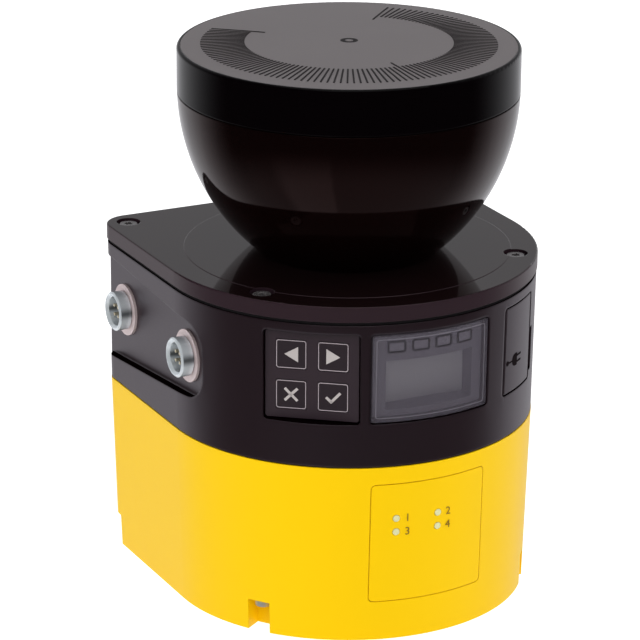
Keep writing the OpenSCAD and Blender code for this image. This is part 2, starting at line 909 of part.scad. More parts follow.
module port_socket() {
    color("silver") at_angle(port_a) difference() {
        front_plate(usb_w, usb_h, 0.5, floor_d - well_wall - 4, floor_d + 0.6, field_mid);
        front_plate(usb_w - 0.8, usb_h - 0.8, 0.3, floor_d - well_wall - 3.4, floor_d + 4, field_mid);
    }
}

module port_tongue() {
    color("black") at_angle(port_a)
        front_plate(usb_w - 2.6, 1.2, 0.2, floor_d - well_wall - 3.4, floor_d, field_mid);
}

// ---------- boards in the base ----------

module at_spacers() {
    for (x = [-1, 1], y = [spacer_front, spacer_rear])
        translate([x * spacer_x, y, 0]) children();
}

// Circuit board with the outline of the base and holes at the spacers
module board(z) {
    translate([0, 0, z]) linear_extrude(board_t) difference() {
        plan(board_inset);
        at_spacers() circle(r = 1.5, $fn = SMALL_FN);
    }
}

module power_board() {
    top = power_z + board_t - EPS;
    coil_w = 28;
    coil_l = 16;
    color("darkgreen") {
        board(power_z);
        for (x = [-1, 0, 1]) translate([x * 13, 18, top]) cylinder(r = 5, h = 9);
        translate([-coil_w / 2, -10 - coil_l, top]) cube([coil_w, coil_l, 7]);
    }
}

module main_board() {
    top = main_z + board_t - EPS;
    color("darkgreen") {
        board(main_z);
        translate([-9, -9, top]) cube([18, 18, 1.6]);
        translate([-20, 16, top]) cube([16, 9, 1.4]);
        translate([4, 16, top]) cube([16, 9, 1.4]);
        translate([-16, 30, top]) cube([32, 6, 6]);
    }
}

module board_spacers() {
    color("silver") at_spacers() {
        translate([0, 0, cover_bottom_t]) cylinder(r = spacer_r, h = power_z - cover_bottom_t, $fn = 6);
        translate([0, 0, power_z + board_t])
            cylinder(r = spacer_r, h = main_z - power_z - board_t, $fn = 6);
        translate([0, 0, main_z + board_t]) cylinder(r = spacer_r, h = 2, $fn = SMALL_FN);
        hole(1.5 - seat, power_z - 1, main_z + board_t + 1);
    }
}

// ---------- optics under the lid ----------

module optics_tube() {
    top = lid_z;
    color("#55585c") difference() {
        union() {
            hole(tube_flange_r, top - tube_flange_t, top);
            hole(lens_r + tube_wall, top - tube_l, top);
        }
        hole(lens_r + seat, top - 2, top + 1);
        hole(lens_r - 1.2, top - tube_l + 2.5, top);
        hole(6, top - tube_l - 1, top);
    }
}

// Plano-convex lens with a hole for the collimator
module receiver_lens() {
    z0 = lid_z - 2;
    edge = 1.4;
    sag = lens_t - edge;
    r = (lens_r * lens_r + sag * sag) / (2 * sag);
    color("lightblue", 0.5) rotate_extrude() intersection() {
        translate([collimator_r + seat, z0]) square([lens_r - collimator_r - seat, lens_t]);
        translate([0, z0 + lens_t - r]) circle(r = r, $fn = 180);
    }
}

module laser_collimator() {
    z0 = lid_z - 2;
    color("#b8b8bc") difference() {
        union() {
            hole(collimator_r, z0 - 12, z0 + lens_t + 0.6);
            hole(collimator_r + 1.6, z0 - 12, z0 - 0.05);
        }
        hole(collimator_r - 1.2, z0 + 1, z0 + lens_t + 1);
    }
}

module detector_board() {
    top = lid_z - tube_l;
    color("darkgreen") {
        hole(lens_r + tube_wall, top - board_t, top);
        hole(5, top - EPS, top + 4);
    }
}

// ---------- hood ----------

// The bowl: a shell between two arcs about one centre, with a collar that stands in the lid
module optics_hood() {
    low = lid_top - collar_h;
    color("#1d171a") rotate_extrude() {
        intersection() {
            translate([arc_x, arc_z]) difference() {
                circle(r = arc_r, $fn = 360);
                circle(r = arc_r - hood_wall, $fn = 360);
            }
            translate([0, lid_top]) square([plan_r, bowl_h]);
        }
        translate([neck_in, low]) square([collar_r - neck_in, collar_h + 1]);
    }
}

module hood_seal() {
    z = lid_top - collar_h - seal_h;
    color("black") difference() {
        hole(collar_r, z, z + seal_h);
        hole(neck_in, z - 1, z + 2);
    }
}

module hood_cap() {
    spigot = 3;
    seat_r = arc_x + sqrt(pow(arc_r - hood_wall, 2) - pow(bowl_turn + spigot, 2)) - seat;
    r = bowl_r + 0.05;
    color("#1d171a") rotate_extrude() difference() {
        union() {
            translate([0, cap_z]) square([r - 0.4, rim_z - cap_z - cap_round]);
            translate([0, cap_z + 0.4]) square([r, rim_z - cap_z - cap_round - 0.4]);
            translate([r - 0.4, cap_z + 0.4]) circle(r = 0.4, $fn = SMALL_FN);
            translate([0, cap_z + 1]) square([r - cap_round, rim_z - cap_z - 1]);
            translate([r - cap_round, rim_z - cap_round]) circle(r = cap_round, $fn = SMALL_FN);
            translate([0, bowl_top - spigot]) square([seat_r, spigot + 1]);
        }
        translate([-1, bowl_top - spigot - 1])
            square([seat_r - hood_wall + 1, cap_under - bowl_top + spigot + 1]);
        translate([-1, rim_z - disc_t]) square([disc_r + seat + 1, disc_t + 1]);
    }
}

// Top disc with a slight crown, in narrow rings, and a dimple on the scan axis
module scale_disc() {
    rings = 16;
    arc = [for (i = [0:rings]) let(x = disc_r * i / rings)
        [x, top_z - crown_r + sqrt(crown_r * crown_r - x * x)]];
    color("#8a8586") rotate_extrude() difference() {
        polygon(concat(arc, [[disc_r, rim_z - disc_t], [0, rim_z - disc_t]]));
        translate([0, top_z + 1.5 * dimple_r]) circle(r = 1.75 * dimple_r, $fn = SMALL_FN);
    }
}

// ---------- scan head ----------

module motor_mount() {
    color("#55585c") difference() {
        union() {
            hole(12, cap_under - 2, cap_under);
            hole(mount_tube_r, mount_z, cap_under);
        }
        hole(bearing_r, mount_z - 1, mount_z + bearing_t);
        hole(bearing_r, cap_under - 2 - bearing_t, cap_under - 2);
        hole(shaft_r + 0.6, mount_z, cap_under - 0.6);
    }
}

module bearings() {
    color("silver") for (z = [mount_z, cap_under - 2 - bearing_t]) difference() {
        hole(bearing_r, z, z + bearing_t);
        hole(shaft_r + running, z - 1, z + bearing_t + 1);
    }
}

module motor_stator() {
    z0 = mount_z + 1;
    h = cap_under - 4 - z0;
    color("#a5673f") translate([0, 0, z0]) linear_extrude(h) difference() {
        union() {
            circle(r = mount_tube_r + 2.4);
            for (i = [0:8]) rotate(40 * i) {
                translate([0, -1.6]) square([stator_r - 1, 3.2]);
                intersection() {
                    translate([stator_r - 2, -4]) square([3, 8]);
                    circle(r = stator_r);
                }
            }
        }
        circle(r = mount_tube_r);
    }
}

// Fork that reads the encoder disc, hung from the cap at the rear
module encoder_reader() {
    y0 = encoder_r - 4;
    z0 = carrier_top - 2.2;
    color("#202224") difference() {
        translate([-4, y0, z0]) cube([8, 9, cap_under - z0]);
        translate([-5, y0 - 1, carrier_top - 0.6]) cube([10, 6, encoder_t + 1.2]);
        translate([-5, y0 - 1, cup_z + 1.8]) cube([10, 5, 50]);
    }
}

module rotor_shaft() {
    color("silver") hole(shaft_r, carrier_top - 4, shaft_top);
}

module rotor_cup() {
    color("#6b6e72") difference() {
        hole(cup_r, cup_z, cup_z + cup_h);
        hole(magnet_r, cup_z + cup_floor, cup_z + cup_h + 1);
        hole(shaft_r, cup_z - 1, cup_z + 5);
    }
}

module magnet_ring() {
    color("#3c3c40") difference() {
        hole(magnet_r, cup_z + cup_floor, cup_z + cup_h);
        hole(magnet_r - magnet_t, cup_z, cup_z + cup_h + 1);
    }
}

module encoder_disc() {
    color("#c9ccd0") translate([0, 0, carrier_top]) linear_extrude(encoder_t) difference() {
        circle(r = encoder_r);
        circle(r = shaft_r);
        for (i = [0:35]) rotate(10 * i) translate([encoder_r - 3, -0.5]) square([2, 1]);
    }
}

// Half-space in front of the mirror's 45 degree plane, moved back by d
module before_mirror(d) {
    translate([0, 0, scan_z]) rotate([-45, 0, 0])
        translate([-FAR / 2, -FAR / 2, d - FAR]) cube(FAR);
}

module mirror_carrier() {
    color("#303236") difference() {
        hole(carrier_r, scan_z - carrier_r - 2, carrier_top);
        before_mirror(mirror_t);
        translate([0, 0, carrier_top - 4]) cylinder(r = shaft_r, h = 5, $fn = SMALL_FN);
    }
}

module scan_mirror() {
    color("lightcyan") difference() {
        hole(mirror_r, scan_z - mirror_r - 5, carrier_top - 0.5);
        before_mirror(0);
        translate([0, 0, scan_z]) rotate([-45, 0, 0])
            translate([-FAR / 2, -FAR / 2, mirror_t]) cube(FAR);
    }
}

base_housing();
bottom_cover();
bottom_screws();
base_screws();
status_plate();
status_lights();
base_seal();
upper_housing();
lid_seal();
housing_lid();
lid_screws();
socket_barrels();
socket_flanges();
socket_inserts();
socket_contacts();
socket_nuts();
socket_board();
keypad_plate();
key_left();
key_right();
key_cancel();
key_confirm();
key_board();
display_window();
display_bezel();
status_lenses();
lcd_module();
port_cover();
port_socket();
port_tongue();
power_board();
main_board();
board_spacers();
optics_tube();
receiver_lens();
laser_collimator();
detector_board();
optics_hood();
hood_seal();
hood_cap();
scale_disc();
motor_mount();
bearings();
motor_stator();
encoder_reader();
rotor_shaft();
rotor_cup();
magnet_ring();
encoder_disc();
mirror_carrier();
scan_mirror();
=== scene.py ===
"""Compact safety laser scanner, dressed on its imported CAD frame.

Lengths are in metres, unless a name ends in _mm. The scan axis is Z, the front faces -Y, and
angles round the axis are counted in degrees from the front, positive towards +X.
"""

import logging
import math
from dataclasses import dataclass
from enum import Enum
from typing import Any, Iterable, Sequence

import bmesh
import bpy
from mathutils import Matrix, Vector


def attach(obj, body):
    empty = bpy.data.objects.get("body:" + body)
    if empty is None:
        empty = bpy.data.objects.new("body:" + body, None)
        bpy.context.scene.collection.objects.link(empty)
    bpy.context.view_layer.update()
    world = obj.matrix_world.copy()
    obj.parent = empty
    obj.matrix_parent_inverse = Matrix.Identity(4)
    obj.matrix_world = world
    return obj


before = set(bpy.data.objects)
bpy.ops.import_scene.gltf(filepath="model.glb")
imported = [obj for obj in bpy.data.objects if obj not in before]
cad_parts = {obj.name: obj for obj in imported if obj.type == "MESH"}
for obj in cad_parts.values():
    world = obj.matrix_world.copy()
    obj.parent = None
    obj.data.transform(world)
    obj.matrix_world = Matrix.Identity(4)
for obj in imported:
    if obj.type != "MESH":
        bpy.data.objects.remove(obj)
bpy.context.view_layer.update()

log = logging.getLogger("scanner")
MM = 0.001
WELD = 1e-6  # points closer than this count as one
STEP = 1 * MM  # longest straight stretch in a stroke that is bent round the front
Colour = tuple[float, float, float, float]
Outline = Sequence[tuple[float, float]]
Tree, Socket, Node = bpy.types.NodeTree, bpy.types.NodeSocket, bpy.types.Node
Build, Corner = bmesh.types.BMesh, bmesh.types.BMVert
Piece, Material = bpy.types.Object, bpy.types.Material


# ---------------------------------------------------------------- node helpers

def linear(colour: str, factor: float = 1.0, lift: float = 0.0) -> Colour:
    """Turns an sRGB hex colour into the linear RGBA that shaders take.

    Args:
        colour: six hex digits, with or without a leading #.
        factor: what the linear colour is multiplied by.
        lift: what is added to it after that.

    Returns:
        Linear red, green, blue and an alpha of 1.
    """
    code = colour.lstrip("#")
    parts = [int(code[i:i + 2], 16) / 255 for i in (0, 2, 4)]
    rgb = [c / 12.92 if c <= 0.04045 else ((c + 0.055) / 1.055) ** 2.4 for c in parts]
    red, green, blue = (min(1.0, c * factor + lift) for c in rgb)
    return red, green, blue, 1.0


def add_node(
    tree: Tree,
    kind: str,
    settings: dict[str, Any] | None = None,
    inputs: dict[str | int, Any] | None = None,
) -> Node:
    """Adds a node with its settings, and fills or links its sockets.

    Args:
        tree: the node tree that gets the node.
        kind: the node's type name.
        settings: attributes to set on the node.
        inputs: a value, or another node's output socket, for each input by name or index.

    Returns:
        The new node.
    """
    node = tree.nodes.new(kind)
    for key, value in (settings or {}).items():
        setattr(node, key, value)
    for key, value in (inputs or {}).items():
        if isinstance(value, Socket):
            tree.links.new(value, node.inputs[key])
        else:
            node.inputs[key].default_value = value
    return node


def calc(tree: Tree, operation: str, a: Any, b: Any = 0.0) -> Socket:
    """Adds one step of arithmetic.

    Args:
        tree: the node tree.
        operation: the math node's operation.
        a: the first number or socket.
        b: the second number or socket.

    Returns:
        The result.
    """
    return add_node(tree, "ShaderNodeMath", {"operation": operation}, {0: a, 1: b}).outputs["Value"]


def dot(tree: Tree, a: Any, b: Any) -> Socket:
    """Adds the dot product of two vectors or sockets."""
    product = add_node(tree, "ShaderNodeVectorMath", {"operation": "DOT_PRODUCT"}, {0: a, 1: b})
    return product.outputs["Value"]


def ramp(
    tree: Tree,
    value: Socket,
    span: tuple[float, float],
    ends: tuple[Any, Any] = (0.0, 1.0),
    smooth: bool = False,
) -> Socket:
    """Maps one range onto another and stays level outside it.

    Args:
        tree: the node tree.
        value: the value to map.
        span: where the range starts and ends.
        ends: the results there, as numbers or sockets.
        smooth: whether it eases in and out.

    Returns:
        The result.
    """
    return add_node(tree, "ShaderNodeMapRange", {
        "interpolation_type": "SMOOTHSTEP" if smooth else "LINEAR",
    }, {
        "Value": value, "From Min": span[0], "From Max": span[1],
        "To Min": ends[0], "To Max": ends[1],
    }).outputs["Result"]


def mix_colour(tree: Tree, factor: Socket, first: Any, second: Any) -> Socket:
    """Mixes two colours or sockets, from the first at 0 to the second at 1."""
    return add_node(tree, "ShaderNodeMix", {"data_type": "RGBA"}, {
        "Factor": factor, 6: first, 7: second,
    }).outputs[2]


def tint(tree: Tree, shader: Node, factor: Socket, colour: Colour) -> None:
    """Mixes a shader's base colour, which is linked already, towards another.

    Args:
        tree: the material's nodes.
        shader: the surface shader.
        factor: how far, from 0 to 1.
        colour: the other colour.
    """
    base = shader.inputs["Base Color"]
    tree.links.new(mix_colour(tree, factor, base.links[0].from_socket, colour), base)


def object_place(tree: Tree) -> Socket:
    """Adds the place on the object."""
    return add_node(tree, "ShaderNodeTexCoord").outputs["Object"]


def normal_parts(tree: Tree) -> Any:
    """Adds the X, Y and Z of the direction in the world that a face points in."""
    normal = add_node(tree, "ShaderNodeNewGeometry").outputs["Normal"]
    return add_node(tree, "ShaderNodeSeparateXYZ", inputs={0: normal}).outputs


def noise(tree: Tree, scale: float, detail: float, roughness: float) -> Socket:
    """Adds noise over the object, from 0 to 1."""
    return add_node(tree, "ShaderNodeTexNoise", {"noise_dimensions": "3D"}, {
        "Vector": object_place(tree), "Scale": scale, "Detail": detail, "Roughness": roughness,
    }).outputs["Fac"]


# ---------------------------------------------------------------- mesh helpers

def mesh_object(name: str, build: Build, smooth: bool = True) -> Piece:
    """Makes a mesh object at the origin out of a bmesh and frees the bmesh.

    Args:
        name: the object's name.
        build: the bmesh, in world coordinates.
        smooth: whether faces are shaded smooth.

    Returns:
        The linked object.
    """
    bmesh.ops.recalc_face_normals(build, faces=build.faces)
    for face in build.faces:
        face.smooth = smooth
    mesh = bpy.data.meshes.new(name)
    build.to_mesh(mesh)
    build.free()
    piece = bpy.data.objects.new(name, mesh)
    bpy.context.scene.collection.objects.link(piece)
    return piece


def lathe(profile: Outline, steps: int) -> Build:
    """Turns a closed profile of (radius, height) points round Z, with the poles closed.

    Args:
        profile: the points in order; a radius of zero lies on the axis.
        steps: how many facets go round.

    Returns:
        A closed bmesh.
    """
    build = bmesh.new()
    rings: list[list[Corner]] = []
    for radius, height in profile:
        if radius < WELD:
            rings.append([build.verts.new((0, 0, height))])
            continue
        rings.append([
            build.verts.new((
                radius * math.cos(math.tau * i / steps),
                radius * math.sin(math.tau * i / steps),
                height,
            ))
            for i in range(steps)
        ])
    pairs = list(zip(rings, rings[1:] + rings[:1]))
    for low, high in pairs:
        for i in range(steps):
            j = (i + 1) % steps
            corners = [
                low[i % len(low)], low[j % len(low)], high[j % len(high)], high[i % len(high)],
            ]
            face = list(dict.fromkeys(corners))
            if len(face) > 2:
                build.faces.new(face)
    return build


def bridge(build: Build, first: Sequence[Corner], second: Sequence[Corner]) -> None:
    """Joins two closed rings, of as many vertices each, with faces.

    Args:
        build: the bmesh that holds the rings.
        first: one ring.
        second: the other ring.
    """
    count = len(first)
    for i in range(count):
        j = (i + 1) % count
        build.faces.new((first[i], first[j], second[j], second[i]))


def prism(outline: Outline, thickness: float, place: Matrix) -> Build:
    """Raises a flat outline into a thin solid and puts it in place.

    Args:
        outline: the corner points in order.
        thickness: how far the solid rises along its own Z.
        place: the matrix that carries the outline to its place.

    Returns:
        A closed bmesh.
    """
    build = bmesh.new()
    low = [build.verts.new((x, y, 0)) for x, y in outline]
    high = [build.verts.new((x, y, thickness)) for x, y in outline]
    build.faces.new(low[::-1])
    build.faces.new(high)
    bridge(build, low, high)
    build.transform(place)
    return build


def join_meshes(name: str, builds: Iterable[Build], smooth: bool = False) -> Piece:
    """Joins several bmeshes into one object.

    Args:
        name: the object's name.
        builds: the parts, which are freed.
        smooth: whether faces are shaded smooth.

    Returns:
        The linked object.
    """
    whole = bmesh.new()
    for build in builds:
        bmesh.ops.recalc_face_normals(build, faces=build.faces)
        part = bpy.data.meshes.new("part")
        build.to_mesh(part)
        build.free()
        whole.from_mesh(part)
        bpy.data.meshes.remove(part)
    return mesh_object(name, whole, smooth)


def facing(angle: float, radius: float, height: float) -> Matrix:
    """Gives the place of a tangent plane on the front, with X to the right and Z outwards.

    Args:
        angle: degrees from the front.
        radius: distance of the plane from the scan axis.
        height: height of the plane's origin.

    Returns:
        The matrix from plane coordinates to the world.
    """
    turn = Matrix.Rotation(math.radians(angle), 4, "Z")
    upright = Matrix.Rotation(math.radians(90), 4, "X")
    return turn @ Matrix.Translation((0, -radius, height)) @ upright


def round_outline(
    width: float, height: float, radius: float, steps: int = 6
) -> list[tuple[float, float]]:
    """Outline of a rectangle with round corners about the origin.

    Args:
        width: size along X.
        height: size along Y.
        radius: radius of the corners.
        steps: facets in each corner.

    Returns:
        The corner points, counter-clockwise.
    """
    points = []
    for quarter, (sx, sy) in enumerate(((1, 1), (-1, 1), (-1, -1), (1, -1))):
        for i in range(steps + 1):
            a = math.pi / 2 * (quarter + i / steps)
            points.append((
                sx * (width / 2 - radius) + radius * math.cos(a),
                sy * (height / 2 - radius) + radius * math.sin(a),
            ))
    return points


def frame_prism(outer: Outline, inner: Outline, thickness: float, place: Matrix) -> Build:
    """Raises the ring between two outlines of equal length into a thin solid.

    Args:
        outer: the outer points.
        inner: the inner points, one for each outer point.
        thickness: how far the ring rises along its own Z.
        place: the matrix that carries the ring to its place.

    Returns:
        A closed bmesh.
    """
    build = bmesh.new()
    rings = [
        [build.verts.new((x, y, z)) for x, y in line]
        for line, z in ((outer, 0), (outer, thickness), (inner, thickness), (inner, 0))
    ]
    for ring, after in zip(rings, rings[1:] + rings[:1]):
        bridge(build, ring, after)
    build.transform(place)
    return build


def ribbon(points: Outline, width: float, thickness: float, closed: bool = False) -> Build:
    """Makes a flat raised stroke that follows a line.

    Args:
        points: the line's points, close together where it bends.
        width: width of the stroke.
        thickness: how far it rises along its own Z.
        closed: whether the last point joins the first.

    Returns:
        A closed bmesh, in plane coordinates.
    """
    build = bmesh.new()
    count = len(points)
    sections = []
    for i, point in enumerate(points):
        before = points[i - 1] if closed or i else point
        after = points[(i + 1) % count] if closed or i < count - 1 else point
        side = (Vector(after) - Vector(before)).orthogonal().normalized() * width / 2
        near, far = Vector(point) - side, Vector(point) + side
        corners = ((near, 0), (far, 0), (far, thickness), (near, thickness))
        sections.append([build.verts.new((p.x, p.y, z)) for p, z in corners])
    pairs = list(zip(sections, sections[1:] + sections[:1]))
    for here, there in pairs if closed else pairs[:-1]:
        bridge(build, here, there)
    if not closed:
        build.faces.new(sections[0][::-1])
        build.faces.new(sections[-1])
    return build


def spread(points: Outline, closed: bool = False) -> list[tuple[float, float]]:
    """Adds points along a line, so that no stretch is longer than STEP.

    Args:
        points: the line's corners.
        closed: whether the last point joins the first.

    Returns:
        The line's points with the new ones between them.
    """
    whole = list(points) + ([points[0]] if closed else [])
    out = [whole[0]]
    for a, b in zip(whole, whole[1:]):
        parts = max(1, math.ceil(math.dist(a, b) / STEP))
        out += [
            (a[0] + (b[0] - a[0]) * i / parts, a[1] + (b[1] - a[1]) * i / parts)
            for i in range(1, parts + 1)
        ]
    return out[:-1] if closed else out


def islands(node: str) -> list[list[Vector]]:
    """Splits a CAD node into its loose pieces.

    Args:
        node: the CAD node.

    Returns:
        The corner points of each piece.
    """
    build = bmesh.new()
    build.from_mesh(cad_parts[node].data)
    bmesh.ops.remove_doubles(build, verts=build.verts, dist=WELD)
    groups: list[list[Vector]] = []
    left = set(build.verts)
    while left:
        stack, group = [left.pop()], []
        while stack:
            vert = stack.pop()
            group.append(vert.co.copy())
            for link in vert.link_edges:
                other = link.other_vert(vert)
                if other in left:
                    left.discard(other)
                    stack.append(other)
        groups.append(group)
    build.free()
    return groups


@dataclass(frozen=True)
class ConeFace:
    """The conical front of a CAD node: its outer radius at two heights."""

    low: float
    low_r: float
    high: float
    high_r: float

    @classmethod
    def of(cls, node: str) -> "ConeFace":
        """Measures the outer face of a node.

        Args:
            node: the CAD node.

        Returns:
            The face.
        """
        points = [v.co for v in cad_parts[node].data.vertices]
        rim = max(math.hypot(p.x, p.y) for p in points)
        face = [p for p in points if math.hypot(p.x, p.y) > rim - 0.5 * MM]
        low, high = min(p.z for p in face), max(p.z for p in face)
        low_r, high_r = (
            max(math.hypot(p.x, p.y) for p in face if abs(p.z - z) < 0.2 * MM)
            for z in (low, high)
        )
        return cls(low, low_r, high, high_r)

    def drape(self, build: Build, angle: float, height: float) -> Build:
        """Bends a flat mark round the face.

        Args:
            build: the mark, with X to the right, Y up and Z outwards.
            angle: where its origin goes, in degrees from the front.
            height: where its origin goes.

        Returns:
            The same bmesh in world coordinates.
        """
        slope = (self.high_r - self.low_r) / (self.high - self.low)
        for vert in build.verts:
            z = height + vert.co.y
            radius = self.low_r + slope * (z - self.low)
            turn = math.radians(angle) + vert.co.x / radius
            radius += vert.co.z
            vert.co = (radius * math.sin(turn), -radius * math.cos(turn), z)
        return build


# ---------------------------------------------------------------- finishes

class Texture(Enum):
    """How a surface is broken up."""

    SPECKLE = "fine isotropic grain"
    PEEL = "soft waves of a sprayed coat"
    LATHE = "rings from turning"
    PLAIN = "smooth"


@dataclass(frozen=True)
class Finish:
    """A material named for the surface that it stands for, made of node patterns.

    Fields: name, base colour, roughness, metallic and IOR, which are set for looks; the texture
    with its size and depth in millimetres; how far roughness and colour vary; the rounding of
    sharp edges and how much paler they are painted, a painted highlight; the tint of its shine;
    and how clear it is.
    """

    name: str
    colour: str
    roughness: float
    metallic: float = 0.0
    ior: float = 1.5
    texture: Texture = Texture.SPECKLE
    size_mm: float = 0.4
    depth_mm: float = 0.01
    rough_swing: float = 0.03
    tone_swing: float = 0.06
    edge_mm: float = 0.0
    worn_edge: float = 0.0
    sheen: str = "#ffffff"
    transmission: float = 0.0
    alpha: float = 1.0

    def build(self) -> Material:
        """Returns the material, made once for each name."""
        known = bpy.data.materials.get(self.name)
        if known:
            return known
        material = bpy.data.materials.new(self.name)
        material.use_nodes = True
        tree = material.node_tree
        tree.nodes.clear()
        shader = add_node(tree, "ShaderNodeBsdfPrincipled", inputs={
            "Metallic": self.metallic,
            "IOR": 1.5 if self.metallic else self.ior,
            "Specular Tint": linear(self.sheen),
            "Transmission Weight": self.transmission,
            "Alpha": self.alpha,
        })
        output = add_node(tree, "ShaderNodeOutputMaterial", inputs={
            "Surface": shader.outputs["BSDF"],
        })
        output.name = "Output"
        self.dress(tree, shader)
        material.diffuse_color = linear(self.colour)
        return material

    def pattern(self, tree: Tree) -> Socket:
        """Adds the surface's height pattern.

        Args:
            tree: the material's nodes.

        Returns:
            The socket that carries the height, from 0 to 1.
        """
        scale = 1 / (self.size_mm * MM)
        if self.texture is Texture.LATHE:
            return add_node(tree, "ShaderNodeTexWave", {
                "wave_type": "RINGS", "rings_direction": "Z", "wave_profile": "SIN",
            }, {
                "Vector": object_place(tree), "Scale": scale / math.tau * 2,
                "Distortion": 1.5, "Detail": 1.0, "Detail Scale": 0.4,
            }).outputs["Fac"]
        return noise(tree, scale, 2.0 if self.texture is Texture.PEEL else 5.0, 0.55)

    def dress(self, tree: Tree, shader: Node) -> None:
        """Adds grain, tone, roughness and edge rounding to the shader.

        Args:
            tree: the material's nodes.
            shader: the surface shader to feed.
        """
        height = self.pattern(tree)
        tone = mix_colour(
            tree, noise(tree, 45.0, 3.0, 0.6),
            linear(self.colour, 1 - self.tone_swing), linear(self.colour, 1 + self.tone_swing),
        )
        low, high = self.roughness - self.rough_swing, self.roughness + self.rough_swing
        rough = ramp(tree, height, (0.0, 1.0), (max(0.0, low), min(1.0, high)))
        bump = add_node(tree, "ShaderNodeBump", inputs={
            "Strength": 1.0, "Distance": self.depth_mm * MM, "Height": height,
        })
        if self.edge_mm:
            edge = add_node(tree, "ShaderNodeBevel", {"samples": 6}, {
                "Radius": self.edge_mm * MM,
            }).outputs["Normal"]
            tree.links.new(edge, bump.inputs["Normal"])
            # Painted highlight: the rounded edges are made paler.
            if self.worn_edge:
                face = add_node(tree, "ShaderNodeNewGeometry").outputs["Normal"]
                highlight = ramp(tree, dot(tree, face, edge), (0.97, 0.75), (0.0, self.worn_edge))
                tone = mix_colour(tree, highlight, tone, linear(self.colour, 2.2, 0.05))
        tree.links.new(tone, shader.inputs["Base Color"])
        tree.links.new(rough, shader.inputs["Roughness"])
        tree.links.new(bump.outputs["Normal"], shader.inputs["Normal"])


@dataclass(frozen=True)
class BoardFinish(Finish):
    """Glass-fibre laminate under solder mask, with copper tracks that show as paler lines."""

    cell_mm: float = 6.4
    track_pitch: float = 0.14
    track_from: float = 0.09

    def dress(self, tree: Tree, shader: Node) -> None:
        """Adds the tracks to the plain surface.

        Args:
            tree: the material's nodes.
            shader: the surface shader to feed.
        """
        super().dress(tree, shader)
        cells = add_node(tree, "ShaderNodeTexVoronoi", {"distance": "MANHATTAN", "feature": "F1"}, {
            "Vector": object_place(tree), "Scale": 1 / (self.cell_mm * MM),
        }).outputs["Distance"]
        line = calc(tree, "PINGPONG", cells, self.track_pitch)
        track = calc(tree, "GREATER_THAN", line, self.track_from)
        tint(tree, shader, track, linear(self.colour, 2.4, 0.01))


@dataclass(frozen=True)
class ThreadFinish(Finish):
    """Nickel plate with a fine thread round an axis along X, and a dark streak painted along it.

    The streak stands in for a reflection. It follows the direction that the face points in.
    """

    pitch_mm: float = 0.5
    streak_colour: str = "#2c2f33"
    streak_at: float = 0.12
    streak_period: float = 1.1
    streak_depth: float = 0.85

    def pattern(self, tree: Tree) -> Socket:
        """Adds the thread's ridges along X.

        Args:
            tree: the material's nodes.

        Returns:
            The socket that carries the height, from 0 to 1.
        """
        along = add_node(tree, "ShaderNodeSeparateXYZ", inputs={0: object_place(tree)}).outputs["X"]
        turns = calc(tree, "MULTIPLY", along, 1 / (self.pitch_mm * MM))
        return calc(tree, "MULTIPLY", calc(tree, "PINGPONG", turns, 0.5), 2.0)

    def dress(self, tree: Tree, shader: Node) -> None:
        """Paints the streak on the sides and leaves the ends free.

        Args:
            tree: the material's nodes.
            shader: the surface shader to feed.
        """
        super().dress(tree, shader)
        normal = normal_parts(tree)
        rise = calc(tree, "SUBTRACT", normal["Z"], self.streak_at)
        turn = calc(tree, "MULTIPLY", rise, math.tau / self.streak_period)
        wave = calc(tree, "MULTIPLY", calc(tree, "ADD", calc(tree, "COSINE", turn), 1.0), 0.5)
        end = calc(tree, "ABSOLUTE", normal["X"])
        side = ramp(tree, end, (0.3, 0.7), (self.streak_depth, 0.0))
        streak = calc(tree, "MULTIPLY", calc(tree, "POWER", wave, 2.0), side)
        tint(tree, shader, streak, linear(self.streak_colour))


@dataclass(frozen=True)
class ShadyLedgeFinish(Finish):
    """A coat with painted shade on the ledges that face up: they are made dark and dull."""

    # Colour of the painted shade on the ledges.
    ledge_colour: str = "#0a0405"

    def dress(self, tree: Tree, shader: Node) -> None:
        """Paints shade on the ledges: takes tone and shine off them.

        Args:
            tree: the material's nodes.
            shader: the surface shader to feed.
        """
        super().dress(tree, shader)
        ledge = ramp(tree, normal_parts(tree)["Z"], (0.2, 0.45))
        tint(tree, shader, ledge, linear(self.ledge_colour))
        shine = shader.inputs["Specular IOR Level"]
        tree.links.new(ramp(tree, ledge, (0.0, 1.0), (shine.default_value, 0.0)), shine)


@dataclass(frozen=True)
class PolishedTopFinish(Finish):
    """A coat that is polished on level faces and satin on the sides, which are painted paler: a
    painted sheen.
    """

    # Colour of the painted sheen on the sides.
    side_colour: str = "#2c1e25"
    side_roughness: float = 0.36

    def dress(self, tree: Tree, shader: Node) -> None:
        """Turns the coat satin where the surface isn't level, and paints a paler sheen there.

        Args:
            tree: the material's nodes.
            shader: the surface shader to feed.
        """
        super().dress(tree, shader)
        side = ramp(tree, normal_parts(tree)["Z"], (0.95, 0.6))
        tint(tree, shader, side, linear(self.side_colour))
        rough = shader.inputs["Roughness"]
        blend = add_node(tree, "ShaderNodeMix", {"data_type": "FLOAT"}, {
            "Factor": side, 2: rough.links[0].from_socket, 3: self.side_roughness,
        })
        tree.links.new(blend.outputs[0], rough)


def print_ink(name: str, colour: str, roughness: float, depth_mm: float) -> Finish:
    """Makes a screen-printed ink with a fine grain."""
    return Finish(name, colour, roughness, ior=1.48, size_mm=0.2, depth_mm=depth_mm)


# Polyester powder coat on die-cast aluminium: soft satin with faint waves.
YELLOW_POWDER = Finish(
    "yellow_powder_coat", "#f8ca00", 0.4, ior=1.38, texture=Texture.PEEL, size_mm=1.4,
    depth_mm=0.004, rough_swing=0.04, tone_swing=0.01, edge_mm=0.3, sheen="#ffe070")
